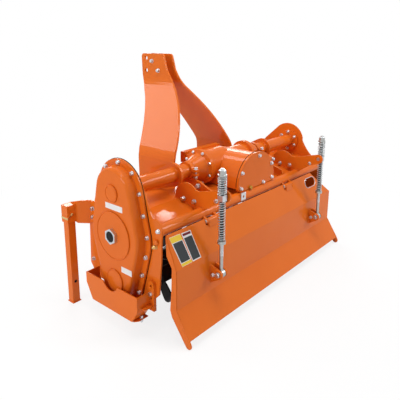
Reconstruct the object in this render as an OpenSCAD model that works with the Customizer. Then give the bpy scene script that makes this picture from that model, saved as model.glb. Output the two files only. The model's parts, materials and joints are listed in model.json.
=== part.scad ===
/* [Main sizes] */
// Distance between the outer faces of the two side plates
body_w = 1490; // [1300:10:1700]
// Height of the rotor axis above the ground
rotor_z = 220; // [216:1:240]
// Radius swept by the blade tips
tip_r = 213; // [195:1:214]
// Height of the axle tubes above the rotor axis
axle_rise = 426; // [420:1:432]
// Thickness of the side plates
side_t = 8; // [6:1:10]

/* [Gear case] */
// Height of the middle gear above the rotor axis
idler_rise = 224; // [216:1:232]
// Radius of the case flange round the top gear
case_top_r = 150; // [146:1:154]
// Radius of the case flange round the middle gear
case_mid_r = 194; // [188:1:198]
// Radius of the case flange round the rotor axis
case_low_r = 134; // [130:1:138]
// Width of the bolted rim outside the pressed pan
case_rim = 33; // [28:1:38]
// Thickness of the bolted rim
case_rim_t = 10; // [8:1:12]
// Thickness of the gasket
gasket_t = 2; // [1:0.5:3]
// Depth of the pressed pan outside the rim
pan_d = 48; // [42:1:54]
// Radius of the ring pressed round the middle gear
idler_ring_r = 114; // [90:1:118]

/* [Gearbox] */
// Outside diameter of the axle tubes
axle_d = 76; // [70:1:80]
// Half width of the gearbox over its side flanges
gearbox_half = 208; // [200:1:212]
// Clearance of the driven side's gearbox flange above the hood deck
flange_clear = 2; // [1:0.5:6]
// Radius of the gearbox flange on the other side
gearbox_right_r = 80; // [74:1:90]
// Length of the cone between side flange and axle tube
cone_l = 84; // [76:1:92]
// Width of the rear gear cover
cover_w = 340; // [320:2:352]
// Rear face of the gearbox body behind the rotor axis
gearbox_back = 219; // [214:1:222]
// Thickness of the rear gear cover
cover_t = 18; // [14:1:20]
// Diameter of the input shaft
pto_d = 34.9; // [34:0.1:36]
// Height of the input shaft above the rotor axis
pto_rise = 420; // [412:1:428]

/* [Hood and tubes] */
// Height of the flat hood deck above the rotor axis
deck_rise = 328; // [322:1:334]
// Thickness of the hood sheet
hood_t = 5; // [4:0.5:6]
// Diameter of the rear cross tube
rear_tube_d = 56; // [52:1:58]
// Distance of the rear cross tube behind the rotor axis
rear_tube_back = 227; // [224:1:230]
// Height of the rear cross tube above the rotor axis
rear_tube_rise = 288; // [285:1:291]
// Width and height of the square front beam
beam_w = 70; // [64:1:76]
// Distance of the front beam ahead of the rotor axis
beam_fore = 291; // [286:1:296]
// Height of the front beam above the rotor axis
beam_rise = 310; // [304:1:316]

/* [Hitch] */
// Spacing of the shoulders of the lower link pins
link_span = 825; // [800:5:840]
// Diameter of the lower link pins
link_pin_d = 28; // [22:1:30]
// Free length of a lower link pin
link_pin_l = 82; // [75:1:90]
// Distance of the lower link pins ahead of the rotor axis
link_fore = 432; // [426:1:440]
// Height of the lower link pins above the rotor axis
link_rise = 300; // [290:1:310]
// Diameter of the top link holes
top_hole_d = 25.4; // [24:0.1:27]
// Height of the upper top link hole above the rotor axis
top_hole_rise = 987; // [900:1:1050]
// Height between the two top link holes
top_hole_pitch = 74; // [70:1:78]
// Gap between the two mast plates at the top
mast_gap = 60; // [50:1:70]
// Thickness of the mast plates
mast_t = 12; // [10:1:14]
// Distance of the lower mast legs from the middle
mast_leg_x = 255; // [245:1:265]

/* [Trailing board] */
// Width of the board between its end wings
board_w = 1456; // [1420:2:1460]
// Thickness of the board
board_t = 6; // [5:0.5:7]
// Distance of the hinge axis behind the rotor axis
hinge_back = 270; // [268:1:272]
// Height of the hinge axis above the rotor axis
hinge_rise = 264; // [260:1:266]
// Depth of the end wings
wing_d = 40; // [34:1:46]
// Height of the board's upper fold above the ground
fold_top_z = 348; // [335:1:360]
// Height of the board's lower fold above the ground
fold_z = 160; // [150:1:175]
// Height of the board's lower edge above the ground
board_low_z = 40; // [34:1:46]
// Distance of the spring rods from the middle
rod_x = 479; // [470:1:488]
// Diameter of a spring rod
rod_d = 18; // [16:1:20]
// Distance of the spring rods behind the rotor axis
rod_back = 372; // [368:1:376]
// Height of the rod's lower eye above the ground
eye_z = 255; // [250:1:260]
// Height of the trunnion above the ground
trunnion_z = 625; // [620:1:630]
// Height of the rod's top above the ground
rod_top_z = 762; // [752:1:772]

/* [Springs] */
// Outside diameter of the upper spring
upper_od = 44; // [40:1:46]
// Wire of the upper spring
upper_wire = 7; // [6:0.5:8]
// Turns of the upper spring
upper_turns = 8; // [6:1:9]
// Outside diameter of the lower spring
lower_od = 34; // [32:1:36]
// Wire of the lower spring
lower_wire = 5; // [4:0.5:6]
// Turns of the lower spring
lower_turns = 16; // [12:1:18]

/* [Rotor] */
// Diameter of the rotor tube
rotor_tube_d = 88; // [76:1:96]
// Number of blade flanges
flange_count = 6; // [4:1:7]
// Distance of the outer blade flanges from the rotor tube's ends
flange_inset = 100; // [96:1:140]
// Radius of the blade flanges
flange_r = 118; // [108:1:126]
// Number of blades on each flange
blade_count = 6; // [4:2:6]
// Width of a blade
blade_w = 58; // [46:1:64]
// Thickness of a blade
blade_t = 8; // [6:1:10]
// Reach of a blade's wing to the side
blade_wing = 84; // [70:1:90]

/* [Parking stands] */
// Leg width front to back
leg_w = 40; // [34:1:44]
// Leg width side to side
leg_b = 40; // [34:1:44]
// Wall of the sleeve round the leg
sleeve_wall = 5; // [4:1:6]
// Height of the sleeve's lower edge
sleeve_low_z = 437; // [425:1:445]
// Length of the sleeve
sleeve_l = 88; // [80:1:100]
// Distance of the legs ahead of the rotor axis
leg_fore = 314; // [308:1:320]
// Distance of the legs outside the side plates
leg_out = 83; // [78:1:88]

/* [Hidden] */

$fn = 48;
paint = "#E8621C";
black = "#1E1E20";
zinc = "#C9CCD0";
bare = "#8A8C8E";

// Running clearance at pins, rods and sleeves
fit = 0.3;
// Gap left round a tube where a plate is welded or clamped on it
seat = 0.2;

// Heights and places worked out from the driving sizes
half_w = body_w / 2;
axle_z = rotor_z + axle_rise;
idler_z = rotor_z + idler_rise;
deck_z = rotor_z + deck_rise;
gearbox_flange_r = axle_rise - deck_rise - flange_clear;
hinge_y = -hinge_back;
hinge_z = rotor_z + hinge_rise;
rod_y = -rod_back;
rear_tube_y = -rear_tube_back;
rear_tube_z = rotor_z + rear_tube_rise;
beam_z = rotor_z + beam_rise;
link_z = rotor_z + link_rise;
pto_z = rotor_z + pto_rise;
top_hole_z = rotor_z + top_hole_rise;
axle_r = axle_d / 2;

// Skid guard under the gear case
guard_t = 5;
guard_gap = 26;
guard_low_z = 80;
guard_top_z = 212;
guard_fore = 185;
guard_aft = -186;

// The machine's box, whose bottom middle is the origin
case_out_x = half_w + gasket_t + case_rim_t + pan_d;
guard_out_x = case_out_x + guard_gap + guard_t;
bearing_d = 50;
stand_plate_t = 8;
stand_case_gap = 4;
foot = 4;
stand_x = half_w + leg_out;
mast_front_y = 624;
wing_tip_r = 17;
board_low_y = -401;
wing_tip_y = board_low_y + 7;
wing_low_y = wing_tip_y - wing_tip_r;
origin_x = 0;
origin_y = (mast_front_y + wing_low_y) / 2;

// Outline helpers: arcs and smooth bends as lists of points
function arc(c, r, a0, a1, n) = [for (i = [0:n]) let(a = a0 + (a1 - a0) * i / n) c + r * [cos(a), sin(a)]];
function bend(p, q, s, n) = [for (i = [0:n]) let(t = i / n) (1-t)*(1-t)*p + 2*t*(1-t)*q + t*t*s];

// Belt round three stacked circles, as [height, radius] from the lowest up
function belt(c) = let(
    a = asin((c[0][1] - c[1][1]) / (c[1][0] - c[0][0])),
    b = asin((c[1][1] - c[2][1]) / (c[2][0] - c[1][0])),
    right = concat(
      arc([0, c[0][0]], c[0][1], -90, a, 8),
      arc([0, c[1][0]], c[1][1], a, b, 5),
      arc([0, c[2][0]], c[2][1], b, 90, 10)),
    n = len(right))
  concat(right, [for (i = [n-2:-1:1]) [-right[i][0], right[i][1]]]);

case_circles = [[rotor_z, case_low_r], [idler_z, case_mid_r], [axle_z, case_top_r]];
function case_inset(d) = belt([for (c = case_circles) [c[0], c[1] - d]]);

// Places everything with the origin under the middle of the machine's box
module placed() translate([-origin_x, -origin_y, 0]) children();

// Plate lying fore and aft: 2-D y and z, extruded along x
module plate_x(x0, t) translate([x0, 0, 0]) rotate([90, 0, 90]) linear_extrude(t) children();

// Plate lying across: 2-D x and z, extruded forward along y
module plate_y(y0, t) translate([0, y0 + t, 0]) rotate([90, 0, 0]) linear_extrude(t) children();

// Round bar along x
module bar_x(x0, l, r, y, z) translate([x0, y, z]) rotate([0, 90, 0]) cylinder(r = r, h = l);

// Round bar along y
module bar_y(y0, l, r, x, z) translate([x, y0 + l, z]) rotate([90, 0, 0]) cylinder(r = r, h = l);

// Mirrors a left-hand piece to the right-hand side
module on_side(side) if (side > 0) mirror([1, 0, 0]) children(); else children();

// Gearbox

arch_mid_z = 566;
arch_low_z = rear_tube_z + rear_tube_d / 2 + 2;
arch_top_z = 728;

// Rear outline: flat foot, upright flanks and a rounded crown
module cover_outline(grow) {
  w = cover_w / 2 + grow;
  r = arch_top_z + grow - arch_mid_z;
  flat = w - r;
  polygon(concat(
    [[-w + 14, arch_low_z - grow], [w - 14, arch_low_z - grow], [w, arch_low_z + 14]],
    arc([max(flat, 0), arch_mid_z], min(r, w), 0, 90, 10),
    arc([-max(flat, 0), arch_mid_z], min(r, w), 90, 180, 10),
    [[-w, arch_low_z + 14]]));
}

gearbox_front = 150;
box_half = 150;
box_top_z = 680;
nose_l = 36;
nose_r = 46;
flange_t = 14;
barrel_step = 10;
neck_r = 64;
neck_x = [-30, 60];
lug_r = 16;
cover_lug = [182, 652];

// Barrel across the machine: big flange on the driven side, neck and small flange on the other
module gearbox_barrel() {
  x0 = -gearbox_half + flange_t / 2;
  l = 2 * gearbox_half - flange_t;
  big = gearbox_flange_r;
  translate([x0, 0, axle_z]) rotate([0, 90, 0]) rotate_extrude()
    polygon([[0, 0], [big, 0], [big, flange_t], [big - barrel_step, flange_t],
      [big - barrel_step, neck_x[0] - x0],
      [neck_r, neck_x[1] - x0], [neck_r, l - flange_t], [gearbox_right_r, l - flange_t],
        [gearbox_right_r, l], [0, l]]);
}

module gearbox_housing() color(paint) placed() difference() {
  union() {
    plate_y(-gearbox_back, gearbox_back + 20) cover_outline(-10);
    translate([-box_half, 0, deck_z]) cube([2 * box_half, gearbox_front, box_top_z - deck_z]);
    gearbox_barrel();
    bar_y(-gearbox_back, 40, lug_r, cover_lug[0], cover_lug[1]);
    translate([cover_w / 2 - 30, -gearbox_back, cover_lug[1] - lug_r])
      cube([cover_lug[0] - cover_w / 2 + 30, 40, 2 * lug_r]);
    bar_y(gearbox_front - 1, nose_l + 1, nose_r, 0, pto_z);
  }
  bar_y(gearbox_front - 20, nose_l + 21, pto_d / 2 + fit, 0, pto_z);
}

module gearbox_rear_cover() color(paint) placed() plate_y(-gearbox_back - cover_t, cover_t) cover_outline(0);

// Axle tubes: flange against the gearbox, cone, tube and end flange on the side plate
end_flange_r = 74;
end_flange_t = 12;

module axle_tube(side) placed() on_side(side) {
  tube_end = -half_w + side_t;
  root = -gearbox_half - tube_end + flange_t / 2;
  big = side < 0 ? gearbox_flange_r : gearbox_right_r;
  cone_end = root - cone_l - flange_t / 2;
  translate([tube_end, 0, axle_z]) rotate([0, 90, 0]) rotate_extrude()
    polygon([[0, 0], [end_flange_r, 0], [end_flange_r, end_flange_t], [axle_r, end_flange_t],
      [axle_r, cone_end], [axle_r + 8, cone_end + 4], [big - 20, root - flange_t - 4],
      [big, root - flange_t], [big, root], [0, root]]);
}

module axle_tube_left() color(paint) axle_tube(-1);
module axle_tube_right() color(paint) axle_tube(1);

// Side plates

journal_r = 30;
journal_hole = journal_r + fit;

plate_low_z = 176;
plate_toe_z = 138;
plate_toe_l = 100;
plate_aft = -250;
plate_fore = 262;
plate_corner_r = 40;

// Lower outline common to both side plates, from the rear edge round to the front edge
plate_foot = [[plate_aft, 380], [plate_aft + 18, 205], [plate_aft + 46, plate_low_z],
  [plate_fore - 40 - plate_toe_l, plate_toe_z], [plate_fore - 40, plate_toe_z],
  [plate_fore + 8, plate_low_z + 26], [plate_fore, 421]];

module side_plate_left() color(paint) placed() difference() {
  plate_x(-half_w, side_t) polygon(concat(plate_foot, [[193, 600]],
    arc([0, axle_z], case_top_r - 6, 20, 160, 12),
    [[-184, 588]], arc([plate_aft + plate_corner_r - 6, 520], plate_corner_r, 70, 180, 6)));
  bar_x(-half_w - 1, side_t + 2, journal_hole, 0, rotor_z);
}

// Bell-shaped hump that carries the right axle tube, with a long slope in front
hump_r = 116;
hump_y = 8;

module side_plate_right() color(paint) placed() difference() {
  plate_x(half_w - side_t, side_t) polygon(concat(plate_foot, [[plate_fore - 6, 560]],
    bend([plate_fore - 20, 590], [plate_fore - 60, 618], [plate_fore - 84, 646], 4),
    arc([hump_y, axle_z], hump_r, 42, 166, 14),
    bend([hump_y - hump_r + 4, axle_z + 10], [-160, 545], [plate_aft - 6, 520], 8)));
  bar_x(half_w - side_t - 1, side_t + 2, journal_hole, 0, rotor_z);
}

// Gear case

module gear_case_gasket() color(black) placed() difference() {
  plate_x(-half_w - gasket_t, gasket_t) polygon(case_inset(-2));
  bar_x(-half_w - gasket_t - 1, gasket_t + 2, journal_hole, 0, rotor_z);
}

boss_h = 5;

// Pressed boss with a rolled edge, on the outside of the pan
module pan_boss(z, r, h) translate([-case_out_x, 0, z]) rotate([0, -90, 0]) rotate_extrude()
  polygon([[0, -1], [r, -1], [r - h * 0.6, h * 0.7], [r - h * 1.6, h], [0, h]]);

plug_r = 29;

module gear_case_cover() color(paint) placed() {
  rim_x = -half_w - gasket_t - case_rim_t;
  difference() {
    union() {
      plate_x(rim_x, case_rim_t) polygon(case_inset(0));
      hull() {
        plate_x(rim_x - 1, 2) polygon(case_inset(case_rim - 4));
        plate_x(rim_x - pan_d + 10, 1) polygon(case_inset(case_rim));
        plate_x(rim_x - pan_d + 3, 1) polygon(case_inset(case_rim + 4));
        plate_x(rim_x - pan_d, 1) polygon(case_inset(case_rim + 11));
      }
      pan_boss(axle_z, 40, boss_h);
      pan_boss(idler_z, idler_ring_r, boss_h - 1);
      pan_boss(rotor_z, 55, boss_h);
    }
    bar_x(-case_out_x - boss_h - 1, boss_h + 22, plug_r + fit, 0, idler_z);
    bar_x(-half_w - gasket_t - 20, 21, journal_r + 4, 0, rotor_z);
  }
}

plug_hex_r = 38;
plug_hex_t = 16;
plug_window_r = 26;
plug_window_d = 5;

module oil_sight_plug() placed() {
  color(zinc) difference() {
    union() {
      bar_x(-case_out_x - boss_h - 2, boss_h + 18, plug_r, 0, idler_z);
      translate([-case_out_x - boss_h + 1 - plug_hex_t, 0, idler_z]) rotate([0, 90, 0])
        cylinder(r = plug_hex_r, h = plug_hex_t, $fn = 6);
    }
    bar_x(-case_out_x - boss_h - plug_hex_t, plug_window_d + 1, plug_window_r, 0, idler_z);
  }
}

// Skid guard: bent sheet box under the gear case, open at the top
module guard_outline() polygon([
  [guard_aft, guard_top_z], [guard_aft, 140], [guard_aft + 38, guard_low_z],
  [guard_fore - 44, guard_low_z], [guard_fore, 160], [guard_fore, guard_top_z]]);

strap_y = -194;
strap_w = 38;
strap_low_z = 122;
strap_top_z = 268;
strap_holes = [150, 182, 243];

module skid_guard_left() color(paint) placed() {
  x_out = -guard_out_x;
  x_in = -half_w - gasket_t - case_rim_t - 1;
  difference() {
    plate_x(x_out, x_in - x_out) guard_outline();
    plate_x(x_out + guard_t, x_in - x_out) polygon([
      [guard_aft + guard_t, guard_top_z + 1], [guard_aft + guard_t, 142],
        [guard_aft + 41, guard_low_z + guard_t],
      [guard_fore - 47, guard_low_z + guard_t], [guard_fore - guard_t, 161],
      [guard_fore - guard_t, guard_top_z + 1]]);
    bar_x(x_out - 1, guard_t + 2, 56, 0, rotor_z + 14);
  }
  difference() {
    plate_x(x_in - 2, -half_w - x_in + 2) polygon(concat([[strap_y - strap_w / 2, strap_low_z],
      [strap_y + strap_w / 2 + 10, strap_low_z]], arc([strap_y, strap_top_z - strap_w / 2],
        strap_w / 2, 0, 180, 8)));
    for (z = strap_holes)
      bar_x(x_in - 3, 20, 6, strap_y, z);
  }
}

skid_low_z = 80;

module skid_right() color(paint) placed() {
  x_in = half_w;
  plate_x(x_in, 44) polygon([[-196, 150], [-150, skid_low_z], [160, skid_low_z], [214, 170], [208, 174],
    [156, skid_low_z + 6], [-146, skid_low_z + 6], [-190, 154]]);
  for (y = [-130, 110])
    translate([x_in, y, skid_low_z + 3]) cube([6, 40, 130]);
}

bearing_flange_r = 82;
bearing_r = 54;

module rotor_bearing_right() color(paint) placed() difference() {
  translate([half_w, 0, rotor_z]) rotate([0, 90, 0]) rotate_extrude()
    polygon([[0, 0], [bearing_flange_r, 0], [bearing_flange_r, 10], [bearing_r + 4, 16],
      [bearing_r, bearing_d - 8],
      [bearing_r - 8, bearing_d], [0, bearing_d]]);
  bar_x(half_w - 1, bearing_d - 11, journal_r + fit, 0, rotor_z);
}

// Hood and cross members

hood_end = half_w - side_t;
hood_fold_y = -72;
hood_path = [[plate_fore + 6, 430], [201, deck_z - 28], [98, deck_z], [hood_fold_y, deck_z],
  [rear_tube_y + rear_tube_d / 2 + 2, rear_tube_z + 8]];

// Same path, moved in by the sheet's thickness
function inward(p, d) = let(n = len(p)) [for (i = [0:n-1]) let(
    a = i > 0 ? p[i] - p[i-1] : p[1] - p[0],
    b = i < n - 1 ? p[i+1] - p[i] : p[n-1] - p[n-2],
    na = [-a[1], a[0]] / norm(a),
    nb = [-b[1], b[0]] / norm(b),
    m = (na + nb) / (1 + na * nb))
  p[i] + d * m];

module hood() color(paint) placed()
  plate_x(-hood_end, 2 * hood_end) polygon(concat(hood_path, [for (i = [len(hood_path)-1:-1:0])
    inward(hood_path, hood_t)[i]]));

hinge_xs = [-430, 275];
hinge_pin_r = 7;
knuckle_r = 12;
knuckle_l = 60;
hinge_lug_t = 12;
hinge_lug_gap = 1;

module rear_cross_tube() color(paint) placed() {
  bar_x(-hood_end, 2 * hood_end, rear_tube_d / 2, rear_tube_y, rear_tube_z);
  for (x = hinge_xs) {
    for (s = [-1, 1])
      plate_x(x + s * (knuckle_l / 2 + hinge_lug_gap + hinge_lug_t / 2) - hinge_lug_t / 2, hinge_lug_t)
        polygon(concat([[rear_tube_y + 6, rear_tube_z], [rear_tube_y - 22, rear_tube_z]],
          arc([hinge_y, hinge_z], knuckle_r, 150, 360, 10)));
    bar_x(x - knuckle_l / 2 - hinge_lug_gap - hinge_lug_t, knuckle_l + 2 * hinge_lug_gap + 2 * hinge_lug_t,
      hinge_pin_r, hinge_y, hinge_z);
  }
}

// Gusset plates from the axle tube to the rear cross tube, clamped round the axle tube
gusset_t = 12;
clamp_l = 24;
clamp_gap = 2;
gusset_x = gearbox_half + cone_l + clamp_gap + (clamp_l + gusset_t) / 2;
clamp_x = gusset_x + (clamp_l - gusset_t) / 2;
clamp_r = axle_r + 11;
ear_y = -clamp_r - 26;
ear_t = 12;
split = 10;

module tube_bracket(side) placed() on_side(side) difference() {
  union() {
    plate_x(-gusset_x, gusset_t) polygon([[52, deck_z], [50, axle_z - 30], [-50, axle_z - 30],
      [-72, 606], [-94, 604],
      [-146, 578], [-210, 560], [rear_tube_y + 6, rear_tube_z + 24], hood_path[4], hood_path[3]]);
    bar_x(-clamp_x, clamp_l, clamp_r, 0, axle_z);
    translate([-clamp_x, ear_y, axle_z - split / 2 - ear_t]) cube([clamp_l, -ear_y, split + 2 * ear_t]);
  }
  bar_x(-clamp_x - 1, clamp_l + 2, axle_r + seat, 0, axle_z);
  translate([-clamp_x - 1, ear_y - 1, axle_z - split / 2]) cube([clamp_l + 2, -ear_y, split]);
  bar_x(-gusset_x - 1, gusset_t + 2, rear_tube_d / 2 + seat, rear_tube_y, rear_tube_z);
  bar_x(-gusset_x - 1, gusset_t + 2, 5, hood_fold_y - 74, deck_z + 10);
}

module tube_bracket_left() color(paint) tube_bracket(-1);
module tube_bracket_right() color(paint) tube_bracket(1);

// Spring brackets: arc-topped plate on the deck with an arm out to the trunnion
arm_gap = 30;
arm_x = rod_x - arm_gap;
arm_arc = [hood_fold_y - 60, deck_z + 17];
arm_arc_r = 76;
arm_t = 8;
trunnion_pin_r = 10;

module spring_bracket(side) placed() on_side(side) difference() {
  plate_x(-arm_x - arm_t / 2, arm_t) polygon(concat(
    [[hood_fold_y + 18, deck_z]],
    arc(arm_arc, arm_arc_r, 20, 140, 10),
    [[arm_arc[0] - 78, arm_arc[1] + 47], [rod_y + 32, trunnion_z + 20]],
    arc([rod_y, trunnion_z], 27, 70, 250, 10),
    [[rod_y + 56, trunnion_z - 50], [rear_tube_y - 19, rear_tube_z + 20], hood_path[4], hood_path[3]]));
  bar_x(-arm_x - arm_t, 2 * arm_t, rear_tube_d / 2 + seat, rear_tube_y, rear_tube_z);
  bar_x(-arm_x - arm_t, 2 * arm_t, trunnion_pin_r + fit, rod_y, trunnion_z);
}

module spring_bracket_left() color(paint) spring_bracket(-1);
module spring_bracket_right() color(paint) spring_bracket(1);

// Mast and hitch

mast_foot_z = 676;
mast_x = mast_gap / 2;
mast_cap = 31;
mast_top_z = top_hole_z + mast_cap;
top_hole_y = 584;
mast_bend_r = 40;

// Height part of the way up from the mast's foot to its upper hole
function up(part) = mast_foot_z + part * (top_hole_z - mast_foot_z);

mast_bend_z = up(0.733);

// Side view of a mast plate: straight head, swan neck and foot
module mast_side_view() polygon(concat(
  [[248, beam_z - beam_w / 2], [420, beam_z - beam_w / 2]],
  bend([426, mast_foot_z], [466, up(0.328)], [542, up(0.554)], 8),
  bend([556, up(0.591)], [mast_front_y - 6, up(0.731)], [mast_front_y - 4, up(0.836)], 6),
  arc([mast_front_y - 20, mast_top_z - 22], 20, 0, 80, 4),
  arc([450, mast_top_z - 26], 22, 95, 160, 4),
  bend([406, up(0.874)], [361, up(0.731)], [316, up(0.655)], 6),
  bend([296, up(0.61)], [166, up(0.347)], [136, mast_foot_z], 8),
  [[136, deck_z + 8], [222, deck_z + 2]]));

// Front view: upright head, sloping neck and upright foot, with rounded bends
mast_neck = [mast_x - mast_leg_x, mast_foot_z - mast_bend_z];
mast_slope = mast_neck / norm(mast_neck);
mast_upper = [-mast_x - mast_t, mast_bend_z];
mast_lower = [-mast_leg_x - mast_t, mast_foot_z];
mast_outer = concat(
  [[mast_upper[0], mast_top_z + 1]],
  bend(mast_upper + [0, mast_bend_r], mast_upper, mast_upper + mast_bend_r * mast_slope, 4),
  bend(mast_lower - mast_bend_r * mast_slope, mast_lower, mast_lower - [0, mast_bend_r], 4),
  [[mast_lower[0], beam_z - beam_w]]);
mast_inner = inward(mast_outer, mast_t);

module mast_front_view() polygon(concat(mast_outer, [for (i = [len(mast_inner)-1:-1:0]) mast_inner[i]]));

// Bolted spacers, as distances behind and below the upper hole
spacer_places = [[53, 17], [106, 73]];
spacer_r = 11;

module mast_plate(side) placed() on_side(side) difference() {
  intersection() {
    plate_y(100, 600) mast_front_view();
    plate_x(-mast_leg_x - 40, mast_leg_x + 40) mast_side_view();
  }
  for (k = [0, 1])
    bar_x(-mast_leg_x, mast_leg_x + 1, top_hole_d / 2, top_hole_y, top_hole_z - k * top_hole_pitch);
  translate([-mast_leg_x - mast_t - 1, beam_fore - beam_w / 2, beam_z - beam_w / 2 - 1])
    cube([mast_t + 2, beam_w, beam_w + 1]);
}

module mast_plate_left() color(paint) mast_plate(-1);
module mast_plate_right() color(paint) mast_plate(1);

module mast_spacers() color(zinc) placed() for (p = spacer_places)
  bar_x(-mast_x, mast_gap, spacer_r, top_hole_y - p[0], top_hole_z - p[1]);

beam_half = 600;

module front_beam() color(paint) placed() difference() {
  translate([-beam_half, beam_fore - beam_w / 2, beam_z - beam_w / 2]) cube([2 * beam_half, beam_w, beam_w]);
  translate([-beam_half - 1, beam_fore - beam_w / 2 + 6, beam_z - beam_w / 2 + 6])
    cube([2 * beam_half + 2, beam_w - 12, beam_w - 12]);
}

// Lower hitch brackets: clamped on the axle tube, under the beam and out to the link pin
hitch_t = 14;
hitch_x = link_span / 2 - hitch_t;
link_shank_r = link_pin_d / 2 - 2;

module hitch_bracket(side) placed() on_side(side) difference() {
  plate_x(-hitch_x - hitch_t, hitch_t) polygon(concat(
    arc([0, axle_z], axle_r + 24, 60, 250, 10),
    [[86, deck_z + 8], [208, deck_z - 18], [248, beam_z - beam_w / 2 - 6]],
    arc([link_fore, link_z], 38, 250, 400, 8),
    [[beam_fore + beam_w / 2 + 20, beam_z + beam_w / 2 + 20], [beam_fore - 60, beam_z + beam_w / 2 + 24]]));
  bar_x(-hitch_x - hitch_t - 1, hitch_t + 2, axle_r + seat, 0, axle_z);
  translate([-hitch_x - hitch_t - 1, beam_fore - beam_w / 2, beam_z - beam_w / 2])
    cube([hitch_t + 2, beam_w, beam_w]);
  bar_x(-hitch_x - hitch_t - 1, hitch_t + 2, link_shank_r + seat, link_fore, link_z);
}

module hitch_bracket_left() color(paint) hitch_bracket(-1);
module hitch_bracket_right() color(paint) hitch_bracket(1);

module hitch_pin(side) placed() on_side(side) {
  bar_x(-hitch_x - hitch_t - link_pin_l, link_pin_l, link_pin_d / 2, link_fore, link_z);
  bar_x(-hitch_x - hitch_t, hitch_t, link_shank_r, link_fore, link_z);
  bar_x(-hitch_x, 16, link_pin_d / 2 + 8, link_fore, link_z);
}

module hitch_pin_left() color(zinc) hitch_pin(-1);
module hitch_pin_right() color(zinc) hitch_pin(1);

// Parking stands

bracket_low_z = 424;
bracket_top_z = 545;

module stand_sleeve(side) placed() on_side(side) {
  w = leg_w + 2 * (sleeve_wall + fit);
  b = leg_b + 2 * (sleeve_wall + fit);
  side_x = stand_x - b / 2;
  difference() {
    translate([-stand_x - b / 2, leg_fore - w / 2, sleeve_low_z]) cube([b, w, sleeve_l]);
    translate([-stand_x - leg_b / 2 - fit, leg_fore - leg_w / 2 - fit, sleeve_low_z - 1])
      cube([leg_b + 2 * fit, leg_w + 2 * fit, sleeve_l + 2]);
  }
  aft = case_mid_r + stand_case_gap;
  bracket = [[-half_w, aft], [-half_w, plate_fore - 22], [-side_x + stand_plate_t, leg_fore - w / 2 - 6],
    [-side_x + stand_plate_t, leg_fore + w / 2 + 10]];
  outer = inward(bracket, stand_plate_t);
  intersection() {
    translate([0, 0, bracket_low_z]) linear_extrude(bracket_top_z - bracket_low_z)
      polygon(concat(bracket, [for (i = [3:-1:0]) outer[i]]));
    plate_x(-stand_x, leg_out) polygon([[aft - 1, bracket_low_z + 28], [plate_fore - 20, bracket_low_z],
      [leg_fore + 50, sleeve_low_z + 4],
      [leg_fore + 50, sleeve_low_z + sleeve_l - 8], [leg_fore - 40, bracket_top_z],
        [aft - 1, bracket_top_z]]);
  }
}

module stand_sleeve_left() color(paint) stand_sleeve(-1);
module stand_sleeve_right() color(paint) stand_sleeve(1);

module stand_leg(side) placed() on_side(side) {
  translate([-stand_x - leg_b / 2, leg_fore - leg_w / 2, 0])
    cube([leg_b, leg_w, sleeve_low_z + sleeve_l - 6]);
  translate([-stand_x - leg_b / 2 - foot, leg_fore - leg_w / 2 - foot, 0])
    cube([leg_b + 2 * foot, leg_w + 2 * foot, foot]);
}

module stand_leg_left() color(paint) stand_leg(-1);
module stand_leg_right() color(paint) stand_leg(1);

// Trailing board

board_top = [hinge_y + 4, hinge_z + 12];
board_knee = [-327, fold_top_z];
board_fold = [-326, fold_z];
board_low = [board_low_y, board_low_z];
lug_t = 10;
lug_gap = 26;
eye_pin_r = 8;

// Oval hand hole and the long cut at the right-hand top corner
slot_x = 525;
slot_z = 446;
slot_half = 34;
slot_r = 26;
corner_w = 172;
corner_h = 160;

module trailing_board() color(paint) placed() {
  path = [board_low, board_fold, board_knee, board_top];
  inner = inward(path, -board_t);
  difference() {
    plate_x(-board_w / 2, board_w) polygon(concat(path, [for (i = [3:-1:0]) inner[i]]));
    for (x = hinge_xs)
      translate([x - knuckle_l / 2 - hinge_lug_t - 4, hinge_y - 30, hinge_z - 18])
        cube([knuckle_l + 2 * hinge_lug_t + 8, 60, 60]);
    for (s = [-1, 1])
      bar_y(hinge_y - 60, 90, slot_r, slot_x + s * slot_half, slot_z);
    translate([slot_x - slot_half, hinge_y - 60, slot_z - slot_r]) cube([2 * slot_half, 90, 2 * slot_r]);
    plate_y(hinge_y - 90, 120) polygon([[board_w / 2 - corner_w, hinge_z + 13],
      [board_w / 2 + 9, hinge_z + 13],
      [board_w / 2 + 9, hinge_z + 13 - corner_h]]);
  }
  for (x = hinge_xs)
    difference() {
      union() {
        bar_x(x - knuckle_l / 2, knuckle_l, knuckle_r, hinge_y, hinge_z);
        plate_x(x - knuckle_l / 2, knuckle_l)
          polygon([[hinge_y - knuckle_r, hinge_z], [hinge_y - 16, hinge_z - 28],
          [hinge_y - 6, hinge_z - 28], [hinge_y + 4, hinge_z]]);
      }
      bar_x(x - knuckle_l / 2 - 1, knuckle_l + 2, hinge_pin_r + fit, hinge_y, hinge_z);
    }
  for (s = [-1, 1]) {
    top = s < 0 ? [board_top + [2, -4], [hinge_y + 2, fold_top_z + 52]] : [];
    plate_x(s * (board_w / 2) - board_t / 2, board_t) polygon(concat(
      top, [board_knee + [wing_d - 12, 4], board_knee + [wing_d - 8, -100], board_fold + [wing_d, -12],
        board_fold + [wing_d - 11, -43]],
      arc([wing_tip_y, wing_tip_r], wing_tip_r, 330, 150, 6),
      [board_low + [2, 4], board_fold + [2, 0], board_knee + [2, 0]]));
  }
  for (s = [-1, 1], k = [-1, 1])
    plate_x(s * rod_x + k * (lug_gap + lug_t) / 2 - lug_t / 2, lug_t) polygon(concat(
      [board_fold + [2, 130], board_fold + [2, 40]], arc([rod_y, eye_z], 22, 240, 90, 10)));
  for (s = [-1, 1])
    bar_x(s * rod_x - lug_gap / 2 - lug_t - 6, lug_gap + 2 * lug_t + 12, eye_pin_r, rod_y, eye_z);
}

// Spring rods

trunnion_h = 30;
trunnion_w = 30;
collar_z = 420;

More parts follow.
